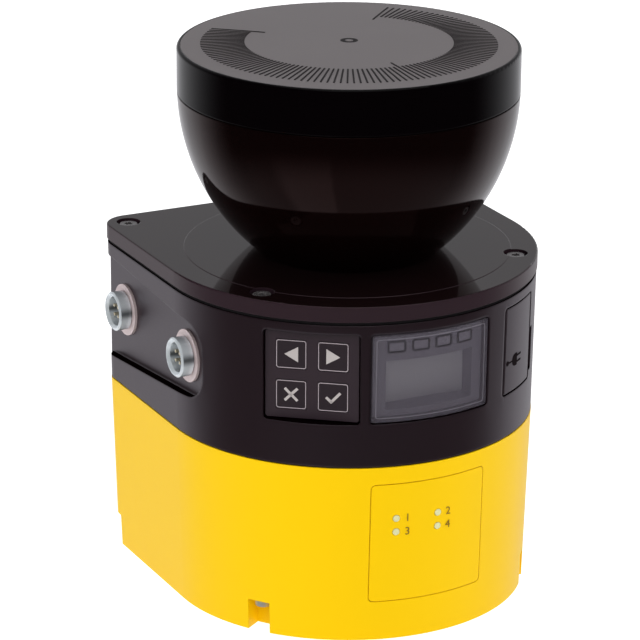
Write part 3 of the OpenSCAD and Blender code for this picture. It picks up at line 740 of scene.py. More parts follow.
# Sprayed aluminium: dark satin. The high IOR is for looks, it brightens faces seen at a slant.
# Ledges that face up get painted shade: they are made dark and dull.
BLACK_COAT = ShadyLedgeFinish(
    "black_satin_coat", "#1b0c11", 0.38, ior=2.0, size_mm=0.5, depth_mm=0.003, rough_swing=0.05,
    edge_mm=0.9, sheen="#f2e9f5")
# The lid is polished: it mirrors the bowl over it. Its sides get a painted sheen.
BLACK_LID = PolishedTopFinish(
    "black_polished_coat", "#190e0f", 0.06, ior=1.45, texture=Texture.PEEL, size_mm=2.0,
    depth_mm=0.0004, rough_swing=0.015, tone_swing=0.05, edge_mm=0.2, sheen="#ffecea")
# Infrared-passing plastic: black to the eye with a deep red tint, mirror smooth.
IR_HOOD = Finish(
    "infrared_polycarbonate", "#070202", 0.07, ior=1.36, texture=Texture.PEEL, size_mm=6.0,
    depth_mm=0.0005, rough_swing=0.02, tone_swing=0.1, edge_mm=0.5, sheen="#ffc9c4")
# The hood's cap, without the red. The low IOR is for looks, it keeps the sides dark.
LINED_HOOD = Finish(
    "lined_polycarbonate", "#040203", 0.08, ior=1.18, texture=Texture.PEEL, size_mm=6.0,
    depth_mm=0.0005, rough_swing=0.02, tone_swing=0.1, edge_mm=0.5)
# Moulded ABS with a matt spark-eroded grain.
DISC_ABS = Finish(
    "matt_grey_abs", "#7b7576", 0.5, ior=1.46, size_mm=0.25, depth_mm=0.012, rough_swing=0.05,
    tone_swing=0.04)
# Embossed polyester membrane: a little paler than the housing. The plate is paler than the keys, a
# painted sheen.
KEYPAD_FOIL, KEY_FOIL = (
    Finish(name, colour, 0.42, size_mm=0.2, depth_mm=0.003, rough_swing=0.04, tone_swing=0.04,
           edge_mm=edge)
    for name, colour, edge in (
        ("keypad_polyester_foil", "#33272e", 0.2), ("key_polyester_foil", "#2c2228", 0.1)))
# Tinted acrylic over the display: smoky, and clear enough to see through.
SMOKED_ACRYLIC = Finish(
    "smoked_acrylic", "#68636d", 0.05, ior=1.49, texture=Texture.PLAIN, size_mm=5.0, depth_mm=0.0,
    rough_swing=0.01, tone_swing=0.02, alpha=0.28)
# Moulded plastic behind the window.
BEZEL_ABS = Finish(
    "dark_grey_abs", "#5c5761", 0.5, ior=1.46, size_mm=0.3, depth_mm=0.008, edge_mm=0.15)
LENS_PC = Finish(
    "frosted_polycarbonate", "#6f6a74", 0.35, ior=1.58, size_mm=0.3, depth_mm=0.006, edge_mm=0.15)
# Reflective LCD, switched off: dull grey.
LCD_GLASS = Finish(
    "reflective_lcd", "#a3a1a5", 0.22, ior=1.52, size_mm=0.3, depth_mm=0.002, tone_swing=0.03)
LED_RESIN = Finish("diffuse_led_resin", "#dedea8", 0.3, ior=1.55, size_mm=0.2, depth_mm=0.003)
# Metals.
NICKEL_THREAD = ThreadFinish(
    "nickel_plated_thread", "#edf4f9", 0.2, metallic=0.5, depth_mm=0.014, rough_swing=0.04,
    tone_swing=0.05, edge_mm=0.2)
NICKEL = Finish(
    "nickel_plate", "#c9c6c2", 0.22, metallic=1.0, size_mm=0.5, depth_mm=0.003, edge_mm=0.15)
WASHER = Finish(
    "turned_washer", "#dfcdcd", 0.4, metallic=0.4, size_mm=0.3, depth_mm=0.004, edge_mm=0.12)
ZINC_STEEL = Finish(
    "zinc_plated_steel", "#c8c9c6", 0.35, metallic=0.6, depth_mm=0.005, edge_mm=0.15)
# Blackened steel screws. Their rounded edges are painted paler: a painted highlight.
BLACK_STEEL = Finish(
    "blackened_steel", "#7f7b7c", 0.25, metallic=0.6, size_mm=0.3, depth_mm=0.006, edge_mm=0.3,
    worn_edge=0.9)
GOLD_PIN = Finish(
    "gold_flashed_brass", "#d2c8ae", 0.25, metallic=0.7, size_mm=0.3, depth_mm=0.002, edge_mm=0.08)
MACHINED_ALU = Finish(
    "machined_aluminium", "#b4b6b9", 0.34, metallic=1.0, texture=Texture.LATHE, size_mm=0.5,
    depth_mm=0.003, edge_mm=0.15)
BLACK_ALU = Finish(
    "black_anodised_aluminium", "#2b2c2f", 0.42, metallic=0.6, size_mm=0.25, depth_mm=0.004,
    edge_mm=0.15)
COPPER_WIRE = Finish(
    "enamelled_copper", "#a5572f", 0.3, metallic=0.85, size_mm=0.35, depth_mm=0.03, edge_mm=0.1)
# Plastics, rubber, boards and optics inside.
SOCKET_INSERT = Finish(
    "glass_filled_nylon", "#9da2a8", 0.3, metallic=0.3, size_mm=0.2, depth_mm=0.006, edge_mm=0.1)
EPDM = Finish("epdm_rubber", "#141214", 0.75, size_mm=0.25)
GREEN_BOARD = BoardFinish(
    "solder_masked_board", "#0f4a26", 0.32, ior=1.55, size_mm=0.6, depth_mm=0.004)
COATED_LENS = Finish(
    "coated_optical_glass", "#e6f0f2", 0.02, ior=1.52, texture=Texture.PLAIN, size_mm=8.0,
    depth_mm=0.0005, rough_swing=0.01, transmission=0.9)
MIRROR_COAT = Finish(
    "silvered_glass", "#e9eef0", 0.03, metallic=1.0, texture=Texture.PLAIN, size_mm=8.0,
    depth_mm=0.0005, rough_swing=0.01)
FERRITE = Finish("ferrite_ring", "#3a3a3d", 0.6, ior=1.6, size_mm=0.2)
# Prints and small marks.
DARK_INK = print_ink("dark_printing_ink", "#150f11", 0.7, 0.004)
GREY_INK = print_ink("light_grey_ink", "#b4adab", 0.55, 0.003)
LINE_INK = print_ink("grey_outline_ink", "#a3989d", 0.55, 0.003)
LABEL_INK = print_ink("label_ink", "#86610a", 0.6, 0.002)
# Pale line round the window: a painted highlight of the acrylic's edge.
WINDOW_EDGE_HIGHLIGHT = print_ink("painted_window_edge_highlight", "#6e6a72", 0.3, 0.001)
RIM_ABS = Finish("dark_moulded_rim", "#0d090b", 0.6, size_mm=0.2, depth_mm=0.003)
# The low IOR is for looks, it keeps the mark from shining.
EMBOSS = Finish(
    "embossed_mark", "#181114", 0.85, ior=1.12, size_mm=0.3, depth_mm=0.003, edge_mm=0.1)


# ---------------------------------------------------------------- sub-assemblies

@dataclass
class SubAssembly:
    """A group of CAD nodes on one body or more, with the finish of each."""

    finishes: dict[str, Finish]

    def dress_nodes(self) -> None:
        """Gives every CAD node of the group its finish in all of its material slots."""
        for node, finish in self.finishes.items():
            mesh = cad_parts[node].data
            material = finish.build()
            if not mesh.materials:
                mesh.materials.append(material)
            for i in range(len(mesh.materials)):
                mesh.materials[i] = material
            log.info("dressed %s as %s", node, finish.name)

    def finish_piece(self, piece: Piece, finish: Finish, body: str, slot: str = "") -> Piece:
        """Gives a new piece its material and its body.

        Args:
            piece: the object.
            finish: what it is made of.
            body: the CAD body that it rides on.
            slot: the record's material slot, when it has one. It is not used.

        Returns:
            The piece.
        """
        piece.data.materials.clear()
        piece.data.materials.append(finish.build())
        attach(piece, body)
        log.info("piece %s: %d faces", piece.name, len(piece.data.polygons))
        return piece

    def build(self) -> None:
        """Dresses the nodes; sub-assemblies with pieces of their own add them."""
        self.dress_nodes()


@dataclass
class StatusPlate(SubAssembly):
    """Plate on the base's front with four lights and a number beside each."""

    digit_h: float = 2.4 * MM
    digit_gap: float = 2.6 * MM
    sink: float = 0.02 * MM
    ink: float = 0.03 * MM
    row_h: float = 2 * MM

    def build(self) -> None:
        """Dresses the plate and prints a number beside each light."""
        self.dress_nodes()
        digits = []
        for count, (angle, height, radius) in enumerate(self.light_places(), start=1):
            plane = facing(angle, radius - self.sink, height)
            place = plane @ Matrix.Translation((self.digit_gap, 0, 0))
            digits.append(number_mesh(str(count), self.digit_h, self.ink, place))
        self.finish_piece(join_meshes("status_numbers", digits), LABEL_INK, "housing")

    def light_places(self) -> list[tuple[float, float, float]]:
        """Finds the angle, height and outer radius of each light on the base."""
        places = []
        for group in islands("status_lights"):
            mid = sum(group, Vector()) / len(group)
            radius = max(math.hypot(v.x, v.y) for v in group)
            places.append((math.degrees(math.atan2(mid.x, -mid.y)), mid.z, radius))
        places.sort(key=lambda p: (-round(p[1] / self.row_h), p[0]))
        return places


def number_mesh(text: str, height: float, thickness: float, place: Matrix) -> Build:
    """Makes plain digits as a thin solid.

    Args:
        text: the digits.
        height: height of a digit.
        thickness: how far they stand up.
        place: the matrix from the writing plane to the world, at the digits' left middle.

    Returns:
        A closed bmesh.
    """
    curve = bpy.data.curves.new("digits", "FONT")
    curve.body = text
    curve.size = height * 1.4
    curve.align_y = "CENTER"
    curve.extrude = thickness / 2
    curve.resolution_u = 3
    holder = bpy.data.objects.new("digits", curve)
    bpy.context.scene.collection.objects.link(holder)
    bpy.context.view_layer.update()
    depsgraph = bpy.context.evaluated_depsgraph_get()
    mesh = bpy.data.meshes.new_from_object(holder.evaluated_get(depsgraph))
    build = bmesh.new()
    build.from_mesh(mesh)
    bpy.data.meshes.remove(mesh)
    bpy.data.objects.remove(holder)
    bpy.data.curves.remove(curve)
    bmesh.ops.remove_doubles(build, verts=build.verts, dist=WELD)
    build.transform(place)
    return build


class Symbol(Enum):
    """The symbols printed on the keys."""

    LEFT = "key_left"
    RIGHT = "key_right"
    CROSS = "key_cancel"
    CHECK = "key_confirm"


@dataclass
class Keypad(SubAssembly):
    """Four membrane keys with an outline and a symbol on each."""

    angle: float = -37.5
    outline_w: float = 8.65 * MM
    outline_h: float = 8.4 * MM
    outline_r: float = 0.7 * MM
    inner_r: float = 0.45 * MM
    line: float = 0.23 * MM
    arrow_w: float = 4.0 * MM
    arrow_h: float = 4.6 * MM
    cross: float = 1.85 * MM
    stroke: float = 0.78 * MM
    check: tuple[Outline, ...] = (
        ((-2.0 * MM, -0.1 * MM), (-0.35 * MM, -1.65 * MM)),
        ((-0.7 * MM, -1.65 * MM), (2.1 * MM, 1.4 * MM)),
    )
    ink: float = 0.04 * MM

    def build(self) -> None:
        """Dresses the keypad and prints each key."""
        self.dress_nodes()
        for symbol in Symbol:
            place = self.key_place(symbol)
            inside = 2 * self.line
            ring = frame_prism(
                round_outline(self.outline_w, self.outline_h, self.outline_r),
                round_outline(self.outline_w - inside, self.outline_h - inside, self.inner_r),
                self.ink, place,
            )
            outline = join_meshes(symbol.value + "_outline", [ring])
            self.finish_piece(outline, LINE_INK, symbol.value)
            shapes = [prism(shape, self.ink, place) for shape in self.outlines(symbol)]
            self.finish_piece(join_meshes(symbol.value + "_symbol", shapes), GREY_INK, symbol.value)

    def key_place(self, symbol: Symbol) -> Matrix:
        """Gives the plane of a key's face, from the key's own vertices.

        Args:
            symbol: the key.

        Returns:
            The matrix from the face's plane to the world.
        """
        turn = Matrix.Rotation(math.radians(-self.angle), 4, "Z")
        points = [turn @ v.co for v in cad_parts[symbol.value].data.vertices]
        depth = -min(p.y for p in points)
        face = [p for p in points if p.y < -depth + 0.01 * MM]
        x = (min(p.x for p in face) + max(p.x for p in face)) / 2
        z = (min(p.z for p in face) + max(p.z for p in face)) / 2
        return facing(self.angle, depth, z) @ Matrix.Translation((x, 0, 0))

    def outlines(self, symbol: Symbol) -> list[list[tuple[float, float]]]:
        """Gives the outlines that make up a symbol.

        Args:
            symbol: which symbol.

        Returns:
            Outlines in the plane of the key's face.
        """
        w, h = self.arrow_w / 2, self.arrow_h / 2
        if symbol is Symbol.LEFT:
            return [[(-w, 0), (w, -h), (w, h)]]
        if symbol is Symbol.RIGHT:
            return [[(w, 0), (-w, h), (-w, -h)]]
        if symbol is Symbol.CROSS:
            c = self.cross
            return [self.bar((-c, -c), (c, c)), self.bar((-c, c), (c, -c))]
        return [self.bar(*stroke) for stroke in self.check]

    def bar(
        self, start: tuple[float, float], end: tuple[float, float]
    ) -> list[tuple[float, float]]:
        """Outline of a straight stroke between two points."""
        a, b = Vector(start), Vector(end)
        side = (b - a).orthogonal().normalized() * self.stroke / 2
        return [tuple(p) for p in (a - side, b - side, b + side, a + side)]


@dataclass
class DisplayPanel(SubAssembly):
    """Window over the LCD and the four status lenses."""

    rim_w: float = 4.9 * MM
    rim_h: float = 3.1 * MM
    rim_line: float = 0.6 * MM
    rim_corner: float = 0.5 * MM
    rim_drop: float = 0.4 * MM
    rim_rise: float = 0.2 * MM
    border_in: float = 1.25 * MM
    border_line: float = 0.22 * MM
    border_corner: float = 0.8 * MM
    ink: float = 0.02 * MM

    def build(self) -> None:
        """Dresses the panel, puts a dark rim on each lens and a pale line round the window, a
        painted highlight of its edge.
        """
        self.dress_nodes()
        lenses = ConeFace.of("status_lenses")
        rims = []
        line = spread(round_outline(self.rim_w, self.rim_h, self.rim_corner), closed=True)
        for angle, height in self.lens_places():
            rim = ribbon(line, self.rim_line, self.rim_rise, closed=True)
            rims.append(lenses.drape(rim, angle, height - self.rim_drop))
        self.finish_piece(join_meshes("status_lens_rims", rims), RIM_ABS, "housing")
        # The pale line round the window is a painted highlight of its edge.
        window = ConeFace.of("display_window")
        half = max(v.co.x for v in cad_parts["display_window"].data.vertices)
        width = 2 * window.low_r * math.asin(half / window.low_r) - 2 * self.border_in
        height = window.high - window.low - 2 * self.border_in
        line = spread(round_outline(width, height, self.border_corner), closed=True)
        border = ribbon(line, self.border_line, self.ink, closed=True)
        window.drape(border, 0, (window.low + window.high) / 2)
        self.finish_piece(join_meshes("window_edge_highlight", [border]), WINDOW_EDGE_HIGHLIGHT, "housing")

    def lens_places(self) -> list[tuple[float, float]]:
        """Gives the angle and middle height of each lens, from left to right."""
        places = []
        for group in islands("status_lenses"):
            x = (min(p.x for p in group) + max(p.x for p in group)) / 2
            y = min(p.y for p in group)
            z = (min(p.z for p in group) + max(p.z for p in group)) / 2
            places.append((math.degrees(math.atan2(x, -y)), z))
        return sorted(places)


@dataclass
class ServicePort(SubAssembly):
    """Hinged cover over the service socket, with a raised mark of a plug."""

    angle: float = 35.0
    height: float = 77.0 * MM
    raise_h: float = 0.05 * MM
    cord: tuple[float, float] = (-4.2 * MM, -1.2 * MM)
    cord_w: float = 0.45 * MM
    prong: tuple[float, float] = (1.2 * MM, 3.9 * MM)
    prong_w: float = 0.6 * MM
    prong_y: float = 0.95 * MM
    plug_r: float = 1.9 * MM
    end_x: float = -4.6 * MM
    end_r: float = 0.75 * MM

    def build(self) -> None:
        """Dresses the port and adds the plug mark to its cover."""
        self.dress_nodes()
        face = ConeFace.of("display_window")
        flat = Matrix.Identity(4)
        front = self.prong[0]
        back = [(x, y) for x, y in self.disc((0, 0), self.plug_r) if x <= 0]
        parts = [
            self.bar(self.cord, 0, self.cord_w),
            self.bar(self.prong, -self.prong_y, self.prong_w),
            self.bar(self.prong, self.prong_y, self.prong_w),
            prism(self.disc((self.end_x, 0), self.end_r), self.raise_h, flat),
            prism([(front, -self.plug_r), (front, self.plug_r), *back], self.raise_h, flat),
        ]
        marks = [face.drape(part, self.angle, self.height) for part in parts]
        mark = join_meshes("port_cover_mark", marks)
        self.finish_piece(mark, EMBOSS, "port_cover", "black_case")

    def bar(self, ends: tuple[float, float], y: float, width: float) -> Build:
        """Makes a level raised bar between two values of X."""
        return ribbon(spread([(x, y) for x in ends]), width, self.raise_h)

    def disc(self, centre: tuple[float, float], radius: float) -> list[tuple[float, float]]:
        """Outline of a small round, from its lower side."""
        turns = [math.tau * i / 20 for i in range(20)]
        return [
            (centre[0] - radius * math.sin(t), centre[1] - radius * math.cos(t)) for t in turns
        ][::-1]


@dataclass
class ScaleDisc(SubAssembly):
    """Crowned top disc with a printed angle scale."""

    ticks: int = 111
    long_ticks: int = 3
    span: float = 275.0
    inner: float = 30.2 * MM
    outer: float = 43.0 * MM
    long_inner: float = 26.2 * MM
    width: float = 0.46 * MM
    ink: float = 0.3 * MM
    tick_lift: float = 0.004 * MM
    gate_r: float = 2.6 * MM
    gate_sink: float = 0.02 * MM
    gate_rise: float = 0.03 * MM
    pip_r: float = 1.2 * MM
    pip_edge: float = 0.02 * MM
    pip_rise: float = 0.04 * MM
    facets: int = 48

    def build(self) -> None:
        """Dresses the disc and prints the scale on its crown."""
        self.dress_nodes()
        self.print_scale("scale_ticks", self.ticks, self.inner)
        self.print_scale("scale_long_ticks", self.long_ticks, self.long_inner)
        self.mark_gate()

    def mark_gate(self) -> None:
        """Adds the moulding mark at the middle: a dark ring with a small pip in it."""
        _, top = self.crown()
        foot = top - self.gate_sink
        ring = lathe([
            (self.pip_r, foot), (self.gate_r, foot - self.gate_sink),
            (self.gate_r, foot + self.gate_rise), (self.pip_r, foot + self.gate_rise),
        ], self.facets)
        self.finish_piece(join_meshes("gate_ring", [ring]), DARK_INK, "housing")
        pip = lathe([
            (0, foot), (self.pip_r, foot), (self.pip_r, foot + self.pip_edge),
            (0, foot + self.pip_rise),
        ], self.facets)
        self.finish_piece(join_meshes("gate_pip", [pip], smooth=True), DISC_ABS, "housing", "disc")

    def crown(self) -> tuple[float, float]:
        """Gives the crown's sphere radius and the height of its top, from the disc itself."""
        points = [v.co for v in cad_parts["scale_disc"].data.vertices]
        rim = max(math.hypot(p.x, p.y) for p in points)
        ring = [p for p in points if 0.5 * rim < math.hypot(p.x, p.y) < 0.99 * rim]
        top_at = {}
        for p in ring:
            r = round(math.hypot(p.x, p.y), 6)
            top_at[r] = max(top_at.get(r, -1.0), p.z)
        (r0, z0), (r1, z1) = min(top_at.items()), max(top_at.items())
        sphere = (r1 * r1 - r0 * r0) / (2 * (z0 - z1))
        return sphere, z0 + r0 * r0 / (2 * sphere)

    def print_scale(self, name: str, count: int, inner: float) -> None:
        """Builds a fan of ticks with Geometry Nodes and keeps it as a plain mesh.

        Args:
            name: the piece's name.
            count: how many ticks.
            inner: radius where a tick starts.
        """
        sphere, top = self.crown()
        tree = self.tick_tree()
        holder = bpy.data.objects.new(name, bpy.data.meshes.new(name))
        bpy.context.scene.collection.objects.link(holder)
        modifier = holder.modifiers.new("ticks", "NODES")
        modifier.node_group = tree
        values = {
            "Count": count, "Span": math.radians(self.span), "Inner": inner, "Outer": self.outer,
            "Width": self.width, "Ink": self.ink, "Sphere": sphere, "Top": top + self.tick_lift,
            "Material": DARK_INK.build(),
        }
        for item in tree.interface.items_tree:
            if item.item_type == "SOCKET" and item.in_out == "INPUT" and item.name in values:
                modifier[item.identifier] = values[item.name]
        depsgraph = bpy.context.evaluated_depsgraph_get()
        depsgraph.update()
        mesh = bpy.data.meshes.new_from_object(holder.evaluated_get(depsgraph))
        holder.modifiers.remove(modifier)
        holder.data = mesh
        mesh.name = name
        self.finish_piece(holder, DARK_INK, "housing")

    def tick_tree(self) -> Tree:
        """Makes the tree that lays ticks round the crown.

        Returns:
            The tree, with named inputs for its sizes.
        """
        known = bpy.data.node_groups.get("scale_of_ticks")
        if known:
            return known
        tree = bpy.data.node_groups.new("scale_of_ticks", "GeometryNodeTree")
        tree.interface.new_socket("Geometry", in_out="OUTPUT", socket_type="NodeSocketGeometry")
        kinds = {"Count": "Int", "Material": "Material"}
        for title in (
            "Count", "Span", "Inner", "Outer", "Width", "Ink", "Sphere", "Top", "Material",
        ):
            kind = "NodeSocket" + kinds.get(title, "Float")
            tree.interface.new_socket(title, in_out="INPUT", socket_type=kind)
        source = add_node(tree, "NodeGroupInput")
        given = {s.name: s for s in source.outputs if s.name}
        length = calc(tree, "SUBTRACT", given["Outer"], given["Inner"])
        size = add_node(tree, "ShaderNodeCombineXYZ", inputs={
            "X": given["Width"], "Y": length, "Z": given["Ink"],
        })
        block = add_node(tree, "GeometryNodeMeshCube", inputs={
            "Size": size.outputs["Vector"], "Vertices X": 2, "Vertices Y": 8, "Vertices Z": 2,
        })
        middle = calc(tree, "MULTIPLY", calc(tree, "ADD", given["Outer"], given["Inner"]), -0.5)
        shift = add_node(tree, "ShaderNodeCombineXYZ", inputs={"Y": middle})
        moved = add_node(tree, "GeometryNodeTransform", inputs={
            "Geometry": block.outputs["Mesh"], "Translation": shift.outputs["Vector"],
        })
        steps = calc(tree, "SUBTRACT", given["Count"], 1.0)
        points = add_node(tree, "GeometryNodePoints", inputs={"Count": given["Count"]})
        index = add_node(tree, "GeometryNodeInputIndex").outputs["Index"]
        share = calc(tree, "SUBTRACT", calc(tree, "DIVIDE", index, steps), 0.5)
        turn = add_node(tree, "ShaderNodeCombineXYZ", inputs={
            "Z": calc(tree, "MULTIPLY", share, given["Span"]),
        })
        fan = add_node(tree, "GeometryNodeInstanceOnPoints", inputs={
            "Points": points.outputs["Points"], "Instance": moved.outputs["Geometry"],
            "Rotation": turn.outputs["Vector"],
        })
        real = add_node(tree, "GeometryNodeRealizeInstances", inputs={
            "Geometry": fan.outputs["Instances"],
        })
        place = add_node(tree, "GeometryNodeInputPosition").outputs["Position"]
        split = add_node(tree, "ShaderNodeSeparateXYZ", inputs={0: place})
        square = calc(tree, "ADD", *(
            calc(tree, "MULTIPLY", split.outputs[axis], split.outputs[axis]) for axis in "XY"
        ))
        drop = calc(tree, "DIVIDE", square, calc(tree, "MULTIPLY", given["Sphere"], 2.0))
        lift = add_node(tree, "ShaderNodeCombineXYZ", inputs={
            "Z": calc(tree, "SUBTRACT", given["Top"], drop),
        })
        laid = add_node(tree, "GeometryNodeSetPosition", inputs={
            "Geometry": real.outputs["Geometry"], "Offset": lift.outputs["Vector"],
        })
        painted = add_node(tree, "GeometryNodeSetMaterial", inputs={
            "Geometry": laid.outputs["Geometry"], "Material": given["Material"],
        })
        add_node(tree, "NodeGroupOutput", inputs={"Geometry": painted.outputs["Geometry"]})
        return tree


# ---------------------------------------------------------------- studio and camera

@dataclass(frozen=True)
class Softbox:
    """A rectangular studio light aimed at the product."""

    name: str
    azimuth: float
    elevation: float
    distance: float
    width: float
    height: float
    power: float
    mirrored: bool = True

    def build(self, target: Vector) -> None:
        """Hangs the light and aims it.

        Args:
            target: the point that it faces.
        """
        light = bpy.data.lights.new(self.name, "AREA")
        light.shape = "RECTANGLE"
        light.size, light.size_y = self.width, self.height
        light.energy = self.power
        holder = bpy.data.objects.new(self.name, light)
        bpy.context.scene.collection.objects.link(holder)
        a, e = math.radians(self.azimuth), math.radians(self.elevation)
        away = Vector((math.sin(a) * math.cos(e), -math.cos(a) * math.cos(e), math.sin(e)))
        holder.location = target + away * self.distance
        holder.rotation_mode = "QUATERNION"
        holder.rotation_quaternion = away.to_track_quat("Z", "Y")
        holder.visible_camera = False
        holder.visible_glossy = self.mirrored
        log.info("softbox %s", self.name)


@dataclass
class Studio:
    """Glowing floor, backdrop, softboxes and a sky whose brightness depends on direction.

    The sky is dark in front, with a paler card low on its left, and bright behind and beside.
    Spans are pairs of where a change starts and ends: of the cosine to the front for side_span,
    of the height on the unit sphere for low_span and high_span, and of degrees to the left of
    the front for card_near and card_far.
    """

    boxes: tuple[Softbox, ...]
    floor_r: float = 12.0
    floor_drop: float = 0.0002
    floor_colour: str = "#bababa"
    floor_glow: float = 2.05
    backdrop_r: float = 6.0
    backdrop_h: float = 6.0
    backdrop_colour: str = "#fdfdfd"
    backdrop_glow: float = 1.0
    facets: int = 96
    sky_colour: str = "#fbfbff"
    sky: float = 0.86
    front_azimuth: float = -26.0
    side_span: tuple[float, float] = (-0.7, 0.05)
    dark_level: float = 0.03
    front_floor: float = 0.32
    low_span: tuple[float, float] = (-0.75, -0.45)
    card_level: float = 0.28
    card_near: tuple[float, float] = (11.0, 15.0)
    card_far: tuple[float, float] = (50.0, 64.0)
    high_level: float = 0.5
    high_span: tuple[float, float] = (-0.1, 0.25)

    def build(self, target: Vector) -> None:
        """Sets up floor, backdrop, sky and lights.

        Args:
            target: the point that the lights face.
        """
        scene = bpy.context.scene
        scene.view_settings.view_transform = "Standard"
        scene.view_settings.look = "None"
        disc = bmesh.new()
        bmesh.ops.create_circle(disc, cap_ends=True, segments=self.facets, radius=self.floor_r)
        bmesh.ops.translate(disc, verts=disc.verts, vec=(0, 0, -self.floor_drop))
        floor = mesh_object("studio_floor", disc, smooth=False)
        floor.visible_glossy = False
        floor.data.materials.append(
            self.card("pale_floor_card", self.floor_colour, self.floor_glow))
        drum = bmesh.new()
        turns = [math.tau * i / self.facets for i in range(self.facets)]
        ring = [(self.backdrop_r * math.cos(t), self.backdrop_r * math.sin(t)) for t in turns]
        low, high = (
            [drum.verts.new((x, y, z)) for x, y in ring] for z in (-0.01, self.backdrop_h)
        )
        bridge(drum, low, high)
        wall = mesh_object("studio_backdrop", drum)
        wall.data.materials.append(
            self.card("pale_backdrop_card", self.backdrop_colour, self.backdrop_glow))
        wall.visible_shadow = False
        wall.visible_diffuse = False
        wall.visible_glossy = False
        self.hang_sky()
        for box in self.boxes:
            box.build(target)

    def hang_sky(self) -> None:
        """Makes the sky."""
        world = bpy.data.worlds.new("studio_sky")
        bpy.context.scene.world = world
        world.use_nodes = True
        tree = world.node_tree
        tree.nodes.clear()
        a = math.radians(self.front_azimuth)
        away = add_node(tree, "ShaderNodeTexCoord").outputs["Generated"]
        rise = add_node(tree, "ShaderNodeSeparateXYZ", inputs={0: away}).outputs["Z"]
        ahead = dot(tree, away, (math.sin(a), -math.cos(a), 0))
        leftward = dot(tree, away, (-math.cos(a), -math.sin(a), 0))
        bearing = calc(tree, "ARCTAN2", leftward, ahead)
        near, far = (
            ramp(tree, bearing, (math.radians(span[0]), math.radians(span[1])), ends, smooth=True)
            for span, ends in ((self.card_near, (0.0, 1.0)), (self.card_far, (1.0, 0.0)))
        )
        card = calc(tree, "MULTIPLY", calc(tree, "MULTIPLY", near, far), self.card_level)
        low_level = calc(tree, "ADD", card, self.front_floor)
        front = ramp(tree, rise, self.low_span, (low_level, self.dark_level), smooth=True)
        side = ramp(tree, ahead, self.side_span, (1.0, front), smooth=True)
        above = ramp(tree, rise, self.high_span, (1.0, self.high_level), smooth=True)
        strength = calc(tree, "MULTIPLY", calc(tree, "MULTIPLY", side, above), self.sky)
        back = add_node(tree, "ShaderNodeBackground", inputs={
            "Color": linear(self.sky_colour), "Strength": strength,
        })
        add_node(tree, "ShaderNodeOutputWorld", inputs={"Surface": back.outputs["Background"]})

    def card(self, name: str, colour: str, glow: float) -> Material:
        """Matt pale card, lit from within so that it stays even."""
        material = bpy.data.materials.new(name)
        material.use_nodes = True
        shader = material.node_tree.nodes["Principled BSDF"]
        shader.inputs["Base Color"].default_value = linear(colour)
        shader.inputs["Roughness"].default_value = 0.9
        shader.inputs["Specular IOR Level"].default_value = 0.1
        shader.inputs["Emission Color"].default_value = linear(colour)
        shader.inputs["Emission Strength"].default_value = glow
        return material


@dataclass
class ProductCamera:
    """Long-lens camera at the viewing angle of a catalogue picture."""

    azimuth: float = -26.556
    elevation: float = 19.368
    distance: float = 1.01014
    lens: float = 199.485
    sensor: float = 36.0
    roll: float = 0.358
    target: tuple[float, float, float] = (-0.024372, -0.031094, 0.093026)

    def build(self) -> Piece:
        """Places the camera and makes it the scene's.

        Returns:
            The camera object.
        """
        data = bpy.data.cameras.new("product_camera")
        data.lens = self.lens
        data.sensor_width = self.sensor
        data.clip_start, data.clip_end = 0.05, 50
        camera = bpy.data.objects.new("product_camera", data)
        bpy.context.scene.collection.objects.link(camera)
        a, e = math.radians(self.azimuth), math.radians(self.elevation)
        back = Vector((math.sin(a) * math.cos(e), -math.cos(a) * math.cos(e), math.sin(e)))
        right = Vector((math.cos(a), math.sin(a), 0))
        up = back.cross(right)
        tilt = math.radians(self.roll)
        cos, sin = math.cos(tilt), math.sin(tilt)
        right, up = right * cos + up * sin, up * cos - right * sin
        spot = Vector(self.target) + back * self.distance
        camera.matrix_world = Matrix((
            (right.x, up.x, back.x, spot.x),
            (right.y, up.y, back.y, spot.y),
            (right.z, up.z, back.z, spot.z),
            (0, 0, 0, 1),
        ))
        bpy.context.scene.camera = camera
        return camera


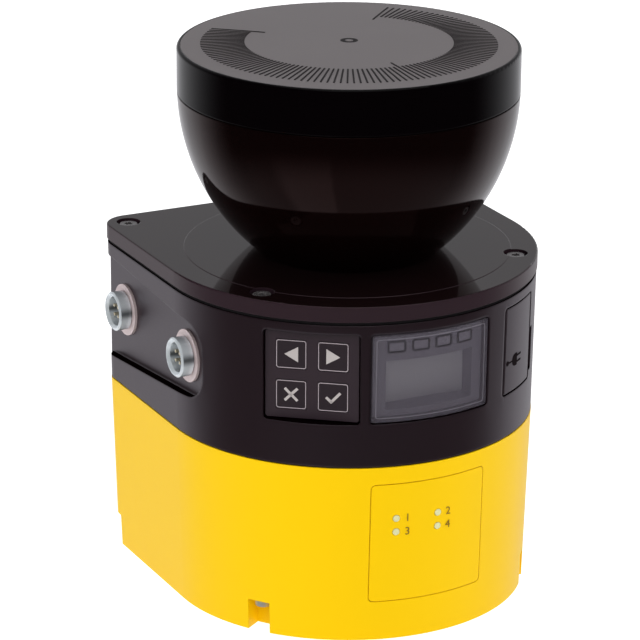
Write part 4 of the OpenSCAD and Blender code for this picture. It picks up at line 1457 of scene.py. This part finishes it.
def main() -> None:
    """Builds the camera, the studio and every sub-assembly in order."""
    logging.basicConfig(level=logging.INFO, format="%(name)s: %(message)s")
    ProductCamera().build()
    Studio(boxes=(
        Softbox("top_softbox", 0, 82, 1.6, 1.6, 1.6, 7.5),
        Softbox("left_softbox", -100, 20, 1.7, 0.9, 1.5, 9, mirrored=False),
        Softbox("right_softbox", 70, 22, 1.8, 0.9, 1.5, 8, mirrored=False),
        Softbox("front_softbox", -20, 30, 2.2, 1.6, 1.2, 18.5, mirrored=False),
    )).build(Vector((0, 0, 0.08)))
    groups: list[SubAssembly] = [
        SubAssembly({
            "base_housing": YELLOW_POWDER, "bottom_cover": BLACK_COAT, "bottom_screws": ZINC_STEEL,
            "base_screws": ZINC_STEEL, "base_seal": EPDM,
        }),
        StatusPlate({"status_plate": YELLOW_POWDER, "status_lights": LED_RESIN}),
        SubAssembly({
            "upper_housing": BLACK_COAT, "lid_seal": EPDM, "housing_lid": BLACK_LID,
            "lid_screws": BLACK_STEEL,
        }),
        SubAssembly({
            "socket_barrels": NICKEL_THREAD, "socket_flanges": WASHER,
            "socket_inserts": SOCKET_INSERT, "socket_contacts": GOLD_PIN, "socket_nuts": NICKEL, "socket_board": GREEN_BOARD,
        }),
        Keypad({
            "keypad_plate": KEYPAD_FOIL, "key_left": KEY_FOIL, "key_right": KEY_FOIL,
            "key_cancel": KEY_FOIL, "key_confirm": KEY_FOIL, "key_board": GREEN_BOARD,
        }),
        DisplayPanel({
            "display_window": SMOKED_ACRYLIC, "display_bezel": BEZEL_ABS, "status_lenses": LENS_PC,
            "lcd_module": LCD_GLASS,
        }),
        ServicePort({
            "port_cover": BLACK_COAT, "port_socket": ZINC_STEEL, "port_tongue": SOCKET_INSERT,
        }),
        SubAssembly({
            "power_board": GREEN_BOARD, "main_board": GREEN_BOARD, "board_spacers": ZINC_STEEL,
        }),
        SubAssembly({
            "optics_tube": BLACK_ALU, "receiver_lens": COATED_LENS,
            "laser_collimator": MACHINED_ALU, "detector_board": GREEN_BOARD,
        }),
        SubAssembly({"optics_hood": IR_HOOD, "hood_seal": EPDM, "hood_cap": LINED_HOOD}),
        ScaleDisc({"scale_disc": DISC_ABS}),
        SubAssembly({
            "motor_mount": MACHINED_ALU, "bearings": ZINC_STEEL, "motor_stator": COPPER_WIRE,
            "encoder_reader": SOCKET_INSERT, "rotor_shaft": ZINC_STEEL, "rotor_cup": MACHINED_ALU,
            "magnet_ring": FERRITE, "encoder_disc": ZINC_STEEL, "mirror_carrier": BLACK_ALU,
            "scan_mirror": MIRROR_COAT,
        }),
    ]
    for group in groups:
        group.build()


if __name__ == "__main__":
    main()
